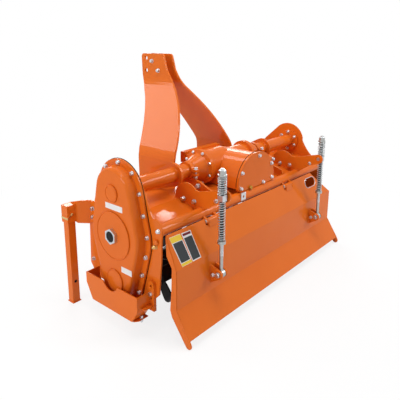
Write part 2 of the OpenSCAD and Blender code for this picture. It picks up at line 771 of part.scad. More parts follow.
module trunnion(side) placed() on_side(side) difference() {
  union() {
    translate([-rod_x - trunnion_w / 2, rod_y - trunnion_w / 2, trunnion_z - trunnion_h / 2])
      cube([trunnion_w, trunnion_w, trunnion_h]);
    bar_x(-rod_x, rod_x - arm_x + arm_t / 2 + 4, trunnion_pin_r, rod_y, trunnion_z);
  }
  translate([-rod_x, rod_y, trunnion_z - trunnion_h]) cylinder(r = rod_d / 2 + fit, h = 2 * trunnion_h);
}

module trunnion_left() color(zinc) trunnion(-1);
module trunnion_right() color(zinc) trunnion(1);

eye_r = 20;
eye_w = 20;
eye_slot = 6;

module spring_rod(side) color(zinc) placed() on_side(side) difference() {
  union() {
    translate([-rod_x, rod_y, eye_z + eye_r - 4]) cylinder(d = rod_d, h = rod_top_z - eye_z - eye_r + 4);
    bar_x(-rod_x - eye_w / 2, eye_w, eye_r, rod_y, eye_z);
    translate([-rod_x, rod_y, collar_z - 14]) cylinder(r = 20, h = 14);
    translate([-rod_x, rod_y, rod_top_z - 36]) cylinder(r = 21, h = 8);
    translate([-rod_x, rod_y, rod_top_z - 28]) cylinder(r = 17, h = 20, $fn = 6);
  }
  bar_x(-rod_x - eye_w / 2 - 1, eye_w + 2, eye_pin_r + eye_slot, rod_y, eye_z);
}

module spring_rod_left() spring_rod(-1);
module spring_rod_right() spring_rod(1);

// Coil spring: a wire ring swept up a helix
coil_sides = 6;
coil_steps = 10;

module coil(od, wire, turns, h) {
  r = (od - wire) / 2;
  rise = h - wire;
  n = turns * coil_steps;
  pts = [for (i = [0:n], k = [0:coil_sides-1]) let(
      a = 360 * i / coil_steps, b = 360 * k / coil_sides,
      rr = r + wire / 2 * cos(b), z = wire / 2 + rise * i / n + wire / 2 * sin(b))
    [rr * cos(a), rr * sin(a), z]];
  side = [for (i = [0:n-1], k = [0:coil_sides-1]) let(k2 = (k + 1) % coil_sides, a = i * coil_sides)
    [a + k, a + k2, a + coil_sides + k2, a + coil_sides + k]];
  polyhedron(pts, concat(side, [[for (k = [coil_sides-1:-1:0]) k]],
    [[for (k = [0:coil_sides-1]) n * coil_sides + k]]));
}

upper_low_z = trunnion_z + trunnion_h / 2;
upper_h = rod_top_z - 36 - upper_low_z;
lower_h = trunnion_z - trunnion_h / 2 - collar_z;

module spring_upper(side) color(zinc) placed() translate([side * rod_x, rod_y, upper_low_z + fit])
  coil(upper_od, upper_wire, upper_turns, upper_h - 2 * fit);

module spring_upper_left() spring_upper(-1);
module spring_upper_right() spring_upper(1);

module spring_lower(side) color(zinc) placed() translate([side * rod_x, rod_y, collar_z + fit])
  coil(lower_od, lower_wire, lower_turns, lower_h - 2 * fit);

module spring_lower_left() spring_lower(-1);
module spring_lower_right() spring_lower(1);

// Rotor

rotor_gap = 37;
rotor_half = half_w - side_t - rotor_gap;
flange_pitch = 2 * (rotor_half - flange_inset) / (flange_count - 1);
shaft_l = half_w + 12;

module rotor_shaft() color(black) placed() {
  bar_x(-rotor_half, 2 * rotor_half, rotor_tube_d / 2, 0, rotor_z);
  bar_x(-shaft_l, shaft_l + half_w + bearing_d - 14, journal_r, 0, rotor_z);
  for (i = [0:flange_count-1])
    bar_x((i - (flange_count - 1) / 2) * flange_pitch - 5, 10, flange_r, 0, rotor_z);
}

// L-shaped blade: curved shank beside the flange, then a wing bent out to the side
wing_bend_r = 26;
blade_root_r = 72;
blade_sweep = 62;
wing_top = sqrt(tip_r * tip_r - blade_sweep * blade_sweep);

// The blade's L seen along its cutting edge
module blade_section() polygon(concat(
  [[5, blade_root_r]],
  arc([5 + wing_bend_r, wing_top - wing_bend_r], wing_bend_r, 180, 90, 4),
  [[5 + blade_wing, wing_top], [5 + blade_wing, wing_top - blade_t]],
  arc([5 + wing_bend_r, wing_top - wing_bend_r], wing_bend_r - blade_t, 90, 180, 4),
  [[5 + blade_t, blade_root_r]]));

// The blade's swept back outline seen from the side
module blade_sweep_view() polygon(concat(
  [[-blade_w / 2 + 6, blade_root_r - 1], [blade_w / 2 - 6, blade_root_r - 1]],
  bend([blade_w / 2 - 4, flange_r], [blade_w / 2 - 6, wing_top - 40], [4, wing_top + 1], 5),
  bend([-blade_sweep, wing_top + 1], [-blade_sweep + 22, wing_top - 60], [-blade_w / 2 + 4, flange_r], 5)));

module blade(hand) scale([hand, 1, 1]) intersection() {
  plate_y(-blade_sweep - 1, blade_sweep + blade_w) blade_section();
  plate_x(0, blade_wing + 8) blade_sweep_view();
}

module rotor_blades() color(black) placed() translate([0, 0, rotor_z])
  for (i = [0:flange_count-1], k = [0:blade_count-1])
    translate([(i - (flange_count - 1) / 2) * flange_pitch, 0, 0])
      rotate([k * 360 / blade_count + i * 17 + 8, 0, 0]) blade(k % 2 == 0 ? 1 : -1);

// Input shaft and shield

pto_tip_y = 266;
spline_count = 6;

module input_shaft() color(bare) placed() difference() {
  bar_y(gearbox_front, pto_tip_y - gearbox_front, pto_d / 2, 0, pto_z);
  for (k = [0:spline_count-1])
    translate([0, pto_tip_y - 76, pto_z]) rotate([0, k * 360 / spline_count, 0])
      translate([-4, 0, pto_d / 2 - 3]) cube([8, 77, 6]);
}

shield_half = 158;
shield_top_z = 694;
shield_low_z = 632;
shield_t = 5;

// Flat-topped sheet shield over the input shaft, open in front and below
module pto_shield() color(paint) placed() difference() {
  translate([-shield_half, gearbox_front, shield_low_z])
    cube([2 * shield_half, nose_l, shield_top_z - shield_low_z]);
  translate([-shield_half + shield_t, gearbox_front + shield_t, shield_low_z - 1])
    cube([2 * (shield_half - shield_t), nose_l, shield_top_z - shield_low_z - shield_t + 1]);
  bar_y(gearbox_front - 1, 20, nose_r + seat, 0, pto_z);
}

gearbox_housing();
gearbox_rear_cover();
axle_tube_left();
axle_tube_right();
side_plate_left();
gear_case_gasket();
gear_case_cover();
oil_sight_plug();
skid_guard_left();
side_plate_right();
rotor_bearing_right();
skid_right();
hood();
rear_cross_tube();
tube_bracket_left();
tube_bracket_right();
spring_bracket_left();
spring_bracket_right();
mast_plate_left();
mast_plate_right();
mast_spacers();
front_beam();
hitch_bracket_left();
hitch_bracket_right();
hitch_pin_left();
hitch_pin_right();
stand_sleeve_left();
stand_sleeve_right();
stand_leg_left();
stand_leg_right();
trailing_board();
trunnion_left();
trunnion_right();
spring_rod_left();
spring_rod_right();
spring_upper_left();
spring_upper_right();
spring_lower_left();
spring_lower_right();
rotor_shaft();
rotor_blades();
input_shaft();
pto_shield();
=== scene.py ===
import json
import math

import bmesh
import bpy
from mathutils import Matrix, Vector, noise


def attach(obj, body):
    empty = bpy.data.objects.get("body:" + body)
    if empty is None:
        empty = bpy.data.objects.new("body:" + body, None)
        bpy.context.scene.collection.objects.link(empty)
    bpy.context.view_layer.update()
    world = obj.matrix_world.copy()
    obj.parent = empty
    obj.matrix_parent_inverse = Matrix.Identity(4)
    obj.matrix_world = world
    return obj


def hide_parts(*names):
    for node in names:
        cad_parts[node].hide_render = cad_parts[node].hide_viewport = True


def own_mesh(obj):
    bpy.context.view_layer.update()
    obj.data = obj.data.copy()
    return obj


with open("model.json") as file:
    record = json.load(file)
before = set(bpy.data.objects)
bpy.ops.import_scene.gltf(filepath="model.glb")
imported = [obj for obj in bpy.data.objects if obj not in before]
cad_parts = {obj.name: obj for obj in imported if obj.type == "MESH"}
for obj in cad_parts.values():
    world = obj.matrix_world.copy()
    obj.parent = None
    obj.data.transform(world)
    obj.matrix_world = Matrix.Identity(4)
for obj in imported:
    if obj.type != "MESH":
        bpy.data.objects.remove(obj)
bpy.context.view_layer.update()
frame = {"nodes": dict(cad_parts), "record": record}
scene = bpy.context.scene

MM = 0.001
TAU = 2 * math.pi
SIDES = (("left", -1), ("right", 1))

# Sizes and places, most of them shared with the solids, in the machine's own frame:
# millimetres, x from the middle, y forward from the rotor axis, z from the ground
ROTOR_TO_ORIGIN_Y = -106.5

# Side plates, the hood's deck and the heights of the three shafts;
# as (y, z), the line where hood and side plate meet, and the foot of the hood's rear slope
SIDE_X, SIDE_T = 745.0, 8.0
DECK_Z = 548.0
AXLE_Z, IDLER_Z, ROTOR_Z = 646.0, 444.0, 220.0
HOOD_LINE = ((262.0, 436.0), (201.0, DECK_Z - 26.0), (98.0, DECK_Z + 2.0),
             (-72.0, DECK_Z + 2.0), (-196.0, 520.0))
HOOD_FOOT = (-197.0, 520.0)

# Gear case: faces of rim, cover and sight plug, and the radii of rim and bosses round each shaft
RIM_X, FACE_X = 757.0, 805.0
CASE = ((ROTOR_Z, 134.0), (IDLER_Z, 194.0), (AXLE_Z, 150.0))
BOSS_RADII = ((AXLE_Z, 39.0), (IDLER_Z, 112.5), (ROTOR_Z, 54.0))
SIGHT_PLUG_X = FACE_X + 14.8

# Gearbox and axle flanges, the rear cover's face and arch, and the shelf in front of the gearbox's barrel
FLANGE_X, FLANGE_T = 215.0, 12.0
COVER_Y, COVER_SEAM_Y = -237.0, -221.0
COVER_ARCH_X, COVER_ARCH_Z, COVER_ARCH_R = 8.0, 566.0, 162.2
SHELF_Y, SHELF_Z = 108.0, 680.0

# Plates over the hood, each by its middle and thickness;
# the gussets' clamp ears, the mast's head and the lower link pins
GUSSET_X, GUSSET_T = 306.0, 12.0
SPRING_PLATE_X, SPRING_PLATE_T = 449.0, 8.0
MAST_X, MAST_T = 261.0, 12.0
HITCH_X, HITCH_T = 405.5, 14.0
CLAMP_Y, CLAMP_EAR_Z, CLAMP_GAP_Z, CLAMP_BOLT_R = -63.0, 17.0, 6.0, 5.0
MAST_HEAD_X = 42.0
LINCH_X, LINK_PIN_Y, LINK_PIN_Z = 486.0, 432.0, 520.0

# Spring rods, their trunnion blocks and springs, and the eye pins through the board's lugs.
# A spring's wire has its nominal thickness and, drawn a hair thinner, its radius
ROD_X, ROD_Y = 479.0, -372.0
TRUNNION_Z, TRUNNION_HALF = 625.0, 15.0
COLLAR_Z, ROD_NUT_Z, ROD_TOP_Z = 420.0, 726.0, 762.0
UPPER_COIL_R, UPPER_WIRE, UPPER_WIRE_R, UPPER_TURNS = 18.5, 6.0, 2.9, 8
LOWER_COIL_R, LOWER_WIRE, LOWER_WIRE_R, LOWER_TURNS = 14.5, 4.6, 2.25, 16
COIL_PLAY, SEAT_T, SEAT_SINK = 0.3, 1.6, 0.2
THREAD_R, THREAD_RIDGE, THREAD_PITCH, THREAD_STEPS = 8.9, 0.75, 2.0, 14
EYE_Z, LUG_FACE, EYE_PIN_HALF = 255.0, 23.0, 29.0
LUG_MIDDLE, LUG_HALF_T = 18.0, 5.0

# Rear cross tube, the hinge under it and the trailing board's bends from top to foot, as (y, z)
REAR_TUBE, REAR_TUBE_R = (-227.0, 508.0), 28.0
HINGE, HINGE_XS = (-270.0, 484.0), (-430.0, 275.0)
HINGE_LUG_IN, HINGE_LUG_OUT = 31.0, 43.0
BOARD_PATH = ((-266.0, 496.0), (-327.0, 348.0), (-326.0, 160.0), (-401.0, 40.0))
HAND_HOLE_X, HAND_HOLE_Z, HAND_HOLE_HALF, HAND_HOLE_R = 525.0, 446.0, 34.0, 27.0

# Parking stands: sleeve and leg by their half widths, and the heights of pin, bail, leg top and leg hole
STAND_X, STAND_Y = 828.0, 314.0
SLEEVE_HALF, LEG_HALF = 25.3, 20.0
PIN_Z, BAIL_Z, LEG_TOP_Z, LEG_HOLE_Z = 480.0, 460.0, 519.0, 116.0

# Rotor: blade flanges, the degrees at which blades follow each other, and the faces under bolt head and nut
BLADE_FLANGES = (-600.0, -360.0, -120.0, 120.0, 360.0, 600.0)
BLADES_A_FLANGE, BLADE_STAGGER, BLADE_START = 6, 17, 8
BLADE_FRONT, BLADE_BACK = 13.0, 5.0

# Hexagons, across flats
SMALL_HEX, RIM_HEX, SIDE_HEX, MEDIUM_HEX, LARGE_HEX = 15, 15.5, 16, 17, 19
GUSSET_HEX, FILLER_HEX = 22, 24


def at(x, y, z):
    """Point of the machine's own frame, in metres in the row frame."""
    return Vector((x, y + ROTOR_TO_ORIGIN_Y, z)) * MM


# Colours and shader nodes

def colour(hex_code):
    """sRGB hex to the linear RGBA that shader sockets take."""
    channels = [int(hex_code[i:i + 2], 16) / 255 for i in (1, 3, 5)]
    linear = [c / 12.92 if c <= 0.04045 else ((c + 0.055) / 1.055) ** 2.4 for c in channels]
    return (*linear, 1.0)


def add(tree, kind, settings=None, inputs=None):
    """Adds a node, sets its properties and fills inputs, by name or number, with values or outputs."""
    node = tree.nodes.new(kind)
    for key, value in (settings or {}).items():
        setattr(node, key, value)
    for name, value in (inputs or {}).items():
        if isinstance(value, bpy.types.NodeSocket):
            tree.links.new(value, node.inputs[name])
        else:
            node.inputs[name].default_value = value
    return node


def per_mm(size_mm):
    """Texture scale, in repeats per metre, for a pattern of that size in millimetres."""
    return 1.0 / (size_mm * MM)


def material(name, roughness, metallic=0.0):
    """New material with its tree, its shader and the object's own coordinates."""
    made = bpy.data.materials.new(name)
    made.use_nodes = True
    tree = made.node_tree
    shader = tree.nodes["Principled BSDF"]
    shader.inputs["Roughness"].default_value = roughness
    shader.inputs["Metallic"].default_value = metallic
    coords = add(tree, "ShaderNodeTexCoord").outputs["Object"]
    return made, tree, shader, coords


def mottle(tree, coords, cloud_mm, low, high, detail=2.0):
    """Soft clouds between two colours."""
    cloud = add(tree, "ShaderNodeTexNoise", None, {
        "Vector": coords, "Scale": per_mm(cloud_mm), "Detail": detail})
    return add(tree, "ShaderNodeMix", {"data_type": "RGBA"},
               {"Factor": cloud.outputs["Fac"], 6: colour(low), 7: colour(high)}).outputs[2]


def grain(tree, coords, grain_mm, depth_mm, strength, edge_mm):
    """Surface bump of that grain, over edges rounded by that much."""
    rounded = add(tree, "ShaderNodeBevel", {"samples": 6}, {"Radius": edge_mm * MM})
    bumps = add(tree, "ShaderNodeTexNoise", None, {
        "Vector": coords, "Scale": per_mm(grain_mm), "Detail": 1.0})
    return add(tree, "ShaderNodeBump", None, {
        "Strength": strength, "Distance": depth_mm * MM, "Height": bumps.outputs["Fac"],
        "Normal": rounded.outputs["Normal"]}).outputs["Normal"]


# Paint: broad patches differ a little in colour, and smaller ones in gloss
PAINT_CLOUD_MM, PAINT_GLOSS_MM, PAINT_GLOSS_SPREAD = 240, 70, 0.05


def painted(name, low, high, grain_mm, depth_mm, bump, edge_mm, roughness, coat):
    """Paint or plastic skin: slightly uneven colour and gloss, its own grain and a clear top coat."""
    made, tree, shader, coords = material(name, roughness)
    tree.links.new(mottle(tree, coords, PAINT_CLOUD_MM, low, high), shader.inputs["Base Color"])
    gloss = add(tree, "ShaderNodeTexNoise", None, {
        "Vector": coords, "Scale": per_mm(PAINT_GLOSS_MM), "Detail": 3.0})
    spread = add(tree, "ShaderNodeMapRange", None, {
        "Value": gloss.outputs["Fac"], "From Min": 0.3, "From Max": 0.7,
        "To Min": roughness - PAINT_GLOSS_SPREAD, "To Max": roughness + PAINT_GLOSS_SPREAD})
    tree.links.new(spread.outputs["Result"], shader.inputs["Roughness"])
    bumps = grain(tree, coords, grain_mm, depth_mm, bump, edge_mm)
    tree.links.new(bumps, shader.inputs["Normal"])
    tree.links.new(bumps, shader.inputs["Coat Normal"])
    shader.inputs["Specular IOR Level"].default_value = 0.05
    shader.inputs["Coat Weight"].default_value = coat
    shader.inputs["Coat Roughness"].default_value = 0.08
    return made


# Plating: real crystals are far below a millimetre, so this grain is drawn coarser to show at all
PLATING_GRAIN = {"grain_mm": 1.5, "depth_mm": 0.1, "strength": 0.15, "edge_mm": 0.8}


def plated(name, low, high, roughness, cloud_mm=9):
    """Metal or metal plating: fine cloudy tint and a faint grain."""
    made, tree, shader, coords = material(name, roughness, 1.0)
    tree.links.new(mottle(tree, coords, cloud_mm, low, high, 4.0), shader.inputs["Base Color"])
    tree.links.new(grain(tree, coords, **PLATING_GRAIN), shader.inputs["Normal"])
    return made


# Materials

# Glossy stoving enamel on sheet steel: clean bright orange, faint orange peel, pale highlights on bends.
# Real orange peel is 1 to 2 mm wide, and it is drawn at 6 mm so that it shows
ENAMEL = painted("orange_enamel_on_steel", "#DA6714", "#E16F1C",
                 grain_mm=6, depth_mm=0.3, bump=0.025, edge_mm=2.2, roughness=0.45, coat=0.32)
# The same enamel on sand castings: a touch darker, with a pebbled skin, drawn coarser than sand to show
CASTING = painted("orange_enamel_on_castings", "#D76413", "#DF6C1A",
                  grain_mm=3.2, depth_mm=0.6, bump=0.16, edge_mm=4.0, roughness=0.47, coat=0.28)
# Semi-gloss black enamel on the rotor: near black with a soft grey sheen, its peel drawn as coarse
BLACK = painted("black_enamel_on_steel", "#17171A", "#232326",
                grain_mm=5, depth_mm=0.4, bump=0.12, edge_mm=1.5, roughness=0.42, coat=0.1)
# Bright zinc plate on fasteners, pins and trunnions: cool pale grey, a little cloudy
ZINC = plated("bright_zinc_plate", "#B9BEC4", "#DADDE0", 0.3)
# Zinc on drawn spring wire: greyer and duller, so the turns read apart
SPRING_WIRE = plated("zinc_on_spring_wire", "#979B9D", "#BABEBF", 0.36, 14)
# Lathe-turned bare steel on the input shaft: darker grey with a sharp sheen
STEEL = plated("machined_steel", "#7E8083", "#9B9DA0", 0.26, 4)
# Yellow-passivated zinc on the stand pins and one nut: pale gold
GOLD_ZINC = plated("yellow_zinc_plate", "#C8A866", "#DEC48A", 0.34)
# Cast brass drain plug and grease nipple: dull warm yellow
BRASS = plated("cast_brass", "#A07A2E", "#BD9443", 0.48, 5)
# Black gasket and plug rubber: matt, faintly speckled, with the specks drawn coarser than real ones
GASKET = painted("black_gasket_rubber", "#0C0C0C", "#161616",
                 grain_mm=2, depth_mm=0.2, bump=0.3, edge_mm=0.4, roughness=0.75, coat=0.0)
# Blank cast vinyl stickers, almost smooth: pale grey-white backing, dark grey panels, yellow and maroon bands
VINYL = {"grain_mm": 4, "depth_mm": 0.1, "bump": 0.05, "edge_mm": 0.3, "coat": 0.1}
WHITE_VINYL = painted("blank_white_vinyl", "#DEDBDA", "#E8E5E4", roughness=0.4, **VINYL)
DARK_VINYL = painted("blank_dark_vinyl", "#3A3D3F", "#46494B", roughness=0.42, **VINYL)
YELLOW_VINYL = painted("blank_yellow_vinyl", "#E4BE3C", "#EBC94E", roughness=0.4, **VINYL)
MAROON_VINYL = painted("blank_maroon_vinyl", "#6E2730", "#7C2F37", roughness=0.4, **VINYL)
# Sight glass: black oil behind a polished window, with a weak reflection
GLASS = painted("dark_sight_glass", "#030303", "#080706",
                grain_mm=8, depth_mm=0.05, bump=0.02, edge_mm=0.4, roughness=0.3, coat=0.0)
GLASS.node_tree.nodes["Principled BSDF"].inputs["Specular IOR Level"].default_value = 0.15

# Spring rods: duller zinc, with painted shade drawn dark between collar and top nut, where the springs and
# trunnion shade the rod
SPRING_SHADE_LOW, SPRING_SHADE_HIGH = COLLAR_Z + 1, ROD_NUT_Z - 1
ROD, rod_tree, rod_shader, rod_coords = material("zinc_rod_with_painted_shade", 0.34, 1.0)
rod_height = add(rod_tree, "ShaderNodeSeparateXYZ", None, {0: rod_coords}).outputs["Z"]
# Painted shade: the rod turns dark grey inside the springs, so the gaps between the turns read dark
shaded_in_springs = add(rod_tree, "ShaderNodeMath", {"operation": "COMPARE"}, {
    0: rod_height, 1: (SPRING_SHADE_LOW + SPRING_SHADE_HIGH) / 2 * MM, 2: (SPRING_SHADE_HIGH - SPRING_SHADE_LOW) / 2 * MM}).outputs[0]
rod_colour = add(rod_tree, "ShaderNodeMix", {"data_type": "RGBA"}, {
    "Factor": shaded_in_springs, 6: mottle(rod_tree, rod_coords, 9, "#9C9E9C", "#BFC0BE", 4.0),
    7: mottle(rod_tree, rod_coords, 6, "#2A2C2C", "#434644", 3.0)})
rod_tree.links.new(rod_colour.outputs[2], rod_shader.inputs["Base Color"])
rod_tree.links.new(grain(rod_tree, rod_coords, **PLATING_GRAIN), rod_shader.inputs["Normal"])

SLOTS = {"orange_paint": ENAMEL, "black_paint": BLACK, "gasket_rubber": GASKET,
         "zinc_plate": ZINC, "bare_steel": STEEL}
SLOT_OF = {made.name: slot for slot, made in SLOTS.items()}
SLOT_OF[SPRING_WIRE.name] = "zinc_plate"
CAST_NODES = ("gearbox_housing", "gearbox_rear_cover", "gear_case_cover", "rotor_bearing_right",
              "axle_tube_left", "axle_tube_right")

for part in frame["record"]["subparts"]:
    node = frame["nodes"][part["node"]]
    node.data.materials.clear()
    made = SLOTS[part["material_slot"]]
    if part["node"] in CAST_NODES:
        made = CASTING
    elif part["node"].startswith("spring_rod"):
        made = ROD
    node.data.materials.append(made)


# Mesh helpers, in the machine's own frame

def revolve(bm, place, axis, profile, sides=20, turn=0.0):
    """Solid of revolution: (radius, distance along axis) pairs, from the axis and back or in a loop."""
    basis = Vector(axis).to_track_quat("Z", "X").to_matrix()
    centre = Vector(place)
    ring_shaped = profile[0] == profile[-1]
    rings = []
    for radius, along in profile[:-1] if ring_shaped else profile:
        if radius == 0:
            rings.append([bm.verts.new(centre + basis @ Vector((0, 0, along)))])
            continue
        ring = []
        for k in range(sides):
            a = turn + TAU * k / sides
            offset = Vector((radius * math.cos(a), radius * math.sin(a), along))
            ring.append(bm.verts.new(centre + basis @ offset))
        rings.append(ring)
    if ring_shaped:
        rings.append(rings[0])
    for low, high in zip(rings, rings[1:]):
        for k in range(sides):
            corners = [low[k % len(low)], low[(k + 1) % sides % len(low)],
                       high[(k + 1) % sides % len(high)], high[k % len(high)]]
            unique = list(dict.fromkeys(corners))
            if len(unique) > 2:
                bm.faces.new(unique)


def sweep(bm, points, radii, sides=10, closed=False):
    """Round bar along the points; radii is one radius or one for each point."""
    points = [Vector(p) for p in points]
    count = len(points)
    if not isinstance(radii, (list, tuple)):
        radii = [radii] * count
    rings = []
    up = None
    for i, p in enumerate(points):
        ahead = points[(i + 1) % count] if closed or i < count - 1 else p
        behind = points[i - 1] if closed or i > 0 else p
        along = (ahead - behind).normalized()
        if up is None:
            up = along.orthogonal().normalized()
        up = (up - along * up.dot(along)).normalized()
        side = along.cross(up)
        ring = []
        for k in range(sides):
            a = TAU * k / sides
            ring.append(bm.verts.new(p + radii[i] * (math.cos(a) * up + math.sin(a) * side)))
        rings.append(ring)
    pairs = list(zip(rings, rings[1:])) + ([(rings[-1], rings[0])] if closed else [])
    for low, high in pairs:
        for k in range(sides):
            bm.faces.new((low[k], low[(k + 1) % sides], high[(k + 1) % sides], high[k]))
    if not closed:
        bm.faces.new(rings[0][::-1])
        bm.faces.new(rings[-1])


def slab(bm, outline, offset):
    """Flat plate: outline points lie on one face, offset runs to the other."""
    low = [bm.verts.new(Vector(p)) for p in outline]
    high = [bm.verts.new(Vector(p) + Vector(offset)) for p in outline]
    count = len(low)
    bm.faces.new(low[::-1])
    bm.faces.new(high)
    for k in range(count):
        bm.faces.new((low[k], low[(k + 1) % count], high[(k + 1) % count], high[k]))


def piece(name, bm, body, made, smooth_deg=35.0):
    """Turns a mesh in the machine's own frame into a piece that rides on a body."""
    bmesh.ops.recalc_face_normals(bm, faces=bm.faces)
    for vert in bm.verts:
        vert.co = at(*vert.co)
    mesh = bpy.data.meshes.new(name)
    bm.to_mesh(mesh)
    bm.free()
    mesh.polygons.foreach_set("use_smooth", [True] * len(mesh.polygons))
    mesh.set_sharp_from_angle(angle=math.radians(smooth_deg))
    mesh.materials.append(made)
    obj = bpy.data.objects.new(name, mesh)
    scene.collection.objects.link(obj)
    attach(obj, body)
    return obj


# Bolts: radii and heights as shares of the size across flats, the head's chamfer as shares of the head
WASHER_T, WASHER_R, HEAD_HEIGHT, NUT_HEIGHT, BOLT_R = 1.8, 0.68, 0.62, 0.8, 0.3
CHAMFER_START, CHAMFER_R = 0.86, 0.88
BOLT_END, BOLT_END_R, BOLT_TIP = 4, 0.8, 5.5


def hex_bolt(bm, place, axis, flats, washer=True, nut=False):
    """Washer and hexagon head, or a nut with its thread end, standing on a face and turned its own way."""
    base = 0.0
    turn = noise.noise(Vector(place) * 0.37) * 3.0
    if washer:
        base = WASHER_T
        washer_r = flats * WASHER_R
        revolve(bm, place, axis, [(0, 0), (washer_r, 0), (washer_r, base), (0, base)], 18)
    corner_r = flats / 2 / math.cos(math.pi / 6)
    height = flats * (NUT_HEIGHT if nut else HEAD_HEIGHT)
    top = base + height
    revolve(bm, place, axis, [(0, base), (corner_r, base), (corner_r, base + height * CHAMFER_START),
                              (corner_r * CHAMFER_R, top), (0, top)], 6, turn)
    if nut:
        bolt_r = flats * BOLT_R
        revolve(bm, place, axis, [(0, top), (bolt_r, top), (bolt_r, top + BOLT_END),
                                  (bolt_r * BOLT_END_R, top + BOLT_TIP), (0, top + BOLT_TIP)], 14)


# Weld beads: the length of a step, and as shares of the radius its mean, the ripples and slower swells
BEAD_STEP, BEAD_MEAN, BEAD_RIPPLE, BEAD_SWELL = 5, 0.9, 0.16, 0.12


def bead(bm, points, radius):
    """Weld bead: ripples along a joint."""
    path = []
    for a, b in zip(points, points[1:]):
        a, b = Vector(a), Vector(b)
        steps = max(2, int((b - a).length / BEAD_STEP))
        path += [a.lerp(b, k / steps) for k in range(steps)]
    path.append(Vector(points[-1]))
    radii = []
    for i, p in enumerate(path):
        ripple, swell = math.sin(i * 2.1), noise.noise(p * 0.05)
        radii.append(radius * (BEAD_MEAN + BEAD_RIPPLE * ripple + BEAD_SWELL * swell))
    sweep(bm, path, radii, 6)


def plane_bead(bm, x, line, radius):
    """Weld bead along (y, z) points in the plane of that x."""
    bead(bm, [(x, y, z) for y, z in line], radius)


def arc(centre, radius, degrees):
    """Points round a centre at those angles, in any one plane."""
    return [(centre[0] + radius * math.cos(math.radians(d)), centre[1] + radius * math.sin(math.radians(d)))
            for d in degrees]


def ring_points(centre, radius, count, start=0.0):
    """Evenly spaced points round a circle in the fore-and-aft plane, as (y, z)."""
    angles = [start + TAU * k / count for k in range(count)]
    return [(centre[0] + radius * math.cos(a), centre[1] + radius * math.sin(a)) for a in angles]


def case_path(inset, step_mm):
    """Points at even steps along the gear case's belt-shaped rim, as (y, z)."""
    circles = [(z, r - inset) for z, r in CASE]
    a = math.asin((circles[0][1] - circles[1][1]) / (circles[1][0] - circles[0][0]))
    b = math.asin((circles[1][1] - circles[2][1]) / (circles[2][0] - circles[1][0]))
    fore = []
    for (z, r), a0, a1 in ((circles[0], -math.pi / 2, a), (circles[1], a, b), (circles[2], b, math.pi / 2)):
        for angle in [a0 + (a1 - a0) * k / 24 for k in range(25)]:
            fore.append((r * math.cos(angle), z + r * math.sin(angle)))
    loop = fore + [(-y, z) for y, z in fore[::-1]]
    stretches = list(zip(loop, loop[1:] + loop[:1]))
    lengths = [math.dist(p, q) for p, q in stretches]
    spacing = sum(lengths) / round(sum(lengths) / step_mm)
    found, due = [], spacing / 2
    for (p, q), length in zip(stretches, lengths):
        while length > 0 and due <= length:
            t = due / length
            found.append((p[0] + (q[0] - p[0]) * t, p[1] + (q[1] - p[1]) * t))
            due += spacing
        due -= length
    return found


# Springs: smooth wire coils in place of the faceted ones, the upper pair on seat washers
SEAT_WASHER = ((10, 0), (21.5, 0), (21.5, SEAT_T), (10, SEAT_T), (10, 0))
COIL_STEPS, COIL_END_EASE = 28, 0.018


def coil_points(x, low, high, radius, wire, turns):
    """Helix round a spring rod between two faces, a little closer wound at its ends."""
    rise = high - low - wire
    points = []
    steps = turns * COIL_STEPS
    for i in range(steps + 1):
        t = i / steps
        eased = t - COIL_END_EASE * math.sin(TAU * t)
        a = TAU * turns * t
        points.append((x + radius * math.cos(a), ROD_Y + radius * math.sin(a), low + wire / 2 + rise * eased))
    return points


for side, sign in SIDES:
    rod_x = sign * ROD_X
    block_top, block_foot = TRUNNION_Z + TRUNNION_HALF, TRUNNION_Z - TRUNNION_HALF
    bm = bmesh.new()
    revolve(bm, (rod_x, ROD_Y, block_top), (0, 0, 1), SEAT_WASHER, 32)
    sweep(bm, coil_points(rod_x, block_top + SEAT_T - SEAT_SINK, ROD_NUT_Z - COIL_PLAY,
                          UPPER_COIL_R, UPPER_WIRE, UPPER_TURNS), UPPER_WIRE_R, 10)
    upper = piece(f"coil_upper_{side}", bm, f"trunnion_{side}", SPRING_WIRE, 60)
    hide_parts(f"spring_upper_{side}")
    bm = bmesh.new()
    sweep(bm, coil_points(rod_x, COLLAR_Z + COIL_PLAY, block_foot - COIL_PLAY,
                          LOWER_COIL_R, LOWER_WIRE, LOWER_TURNS), LOWER_WIRE_R, 8)
    lower = piece(f"coil_lower_{side}", bm, f"trunnion_{side}", SPRING_WIRE, 60)
    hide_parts(f"spring_lower_{side}")
    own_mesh(lower)

# Rod ends: thread ridges, the top nut's crown and a stop pin through the collar
THREADS = ((ROD_TOP_Z - 9, ROD_TOP_Z - 2), (COLLAR_Z - 74, COLLAR_Z - 16))
NUT_CROWN = ((9.5, 0), (15, 0), (13, 3), (9.5, 3), (9.5, 0))
STOP_PIN_HALF, STOP_PIN_R, STOP_PIN_Z = 24.0, 3.0, COLLAR_Z - 7
for side, sign in SIDES:
    rod_x = sign * ROD_X
    bm = bmesh.new()
    for low, high in THREADS:
        ridge = []
        for i in range(int((high - low) / THREAD_PITCH * THREAD_STEPS) + 1):
            a = TAU * i / THREAD_STEPS
            ridge.append((rod_x + THREAD_R * math.cos(a), ROD_Y + THREAD_R * math.sin(a),
                          low + THREAD_PITCH * i / THREAD_STEPS))
        sweep(bm, ridge, THREAD_RIDGE, 5)
    revolve(bm, (rod_x, ROD_Y, ROD_TOP_Z - 9), (0, 0, 1), NUT_CROWN)
    sweep(bm, [(rod_x + s * STOP_PIN_HALF, ROD_Y, STOP_PIN_Z) for s in (-1, 1)], STOP_PIN_R)
    piece(f"rod_thread_{side}", bm, f"spring_rod_{side}", ZINC, 50)

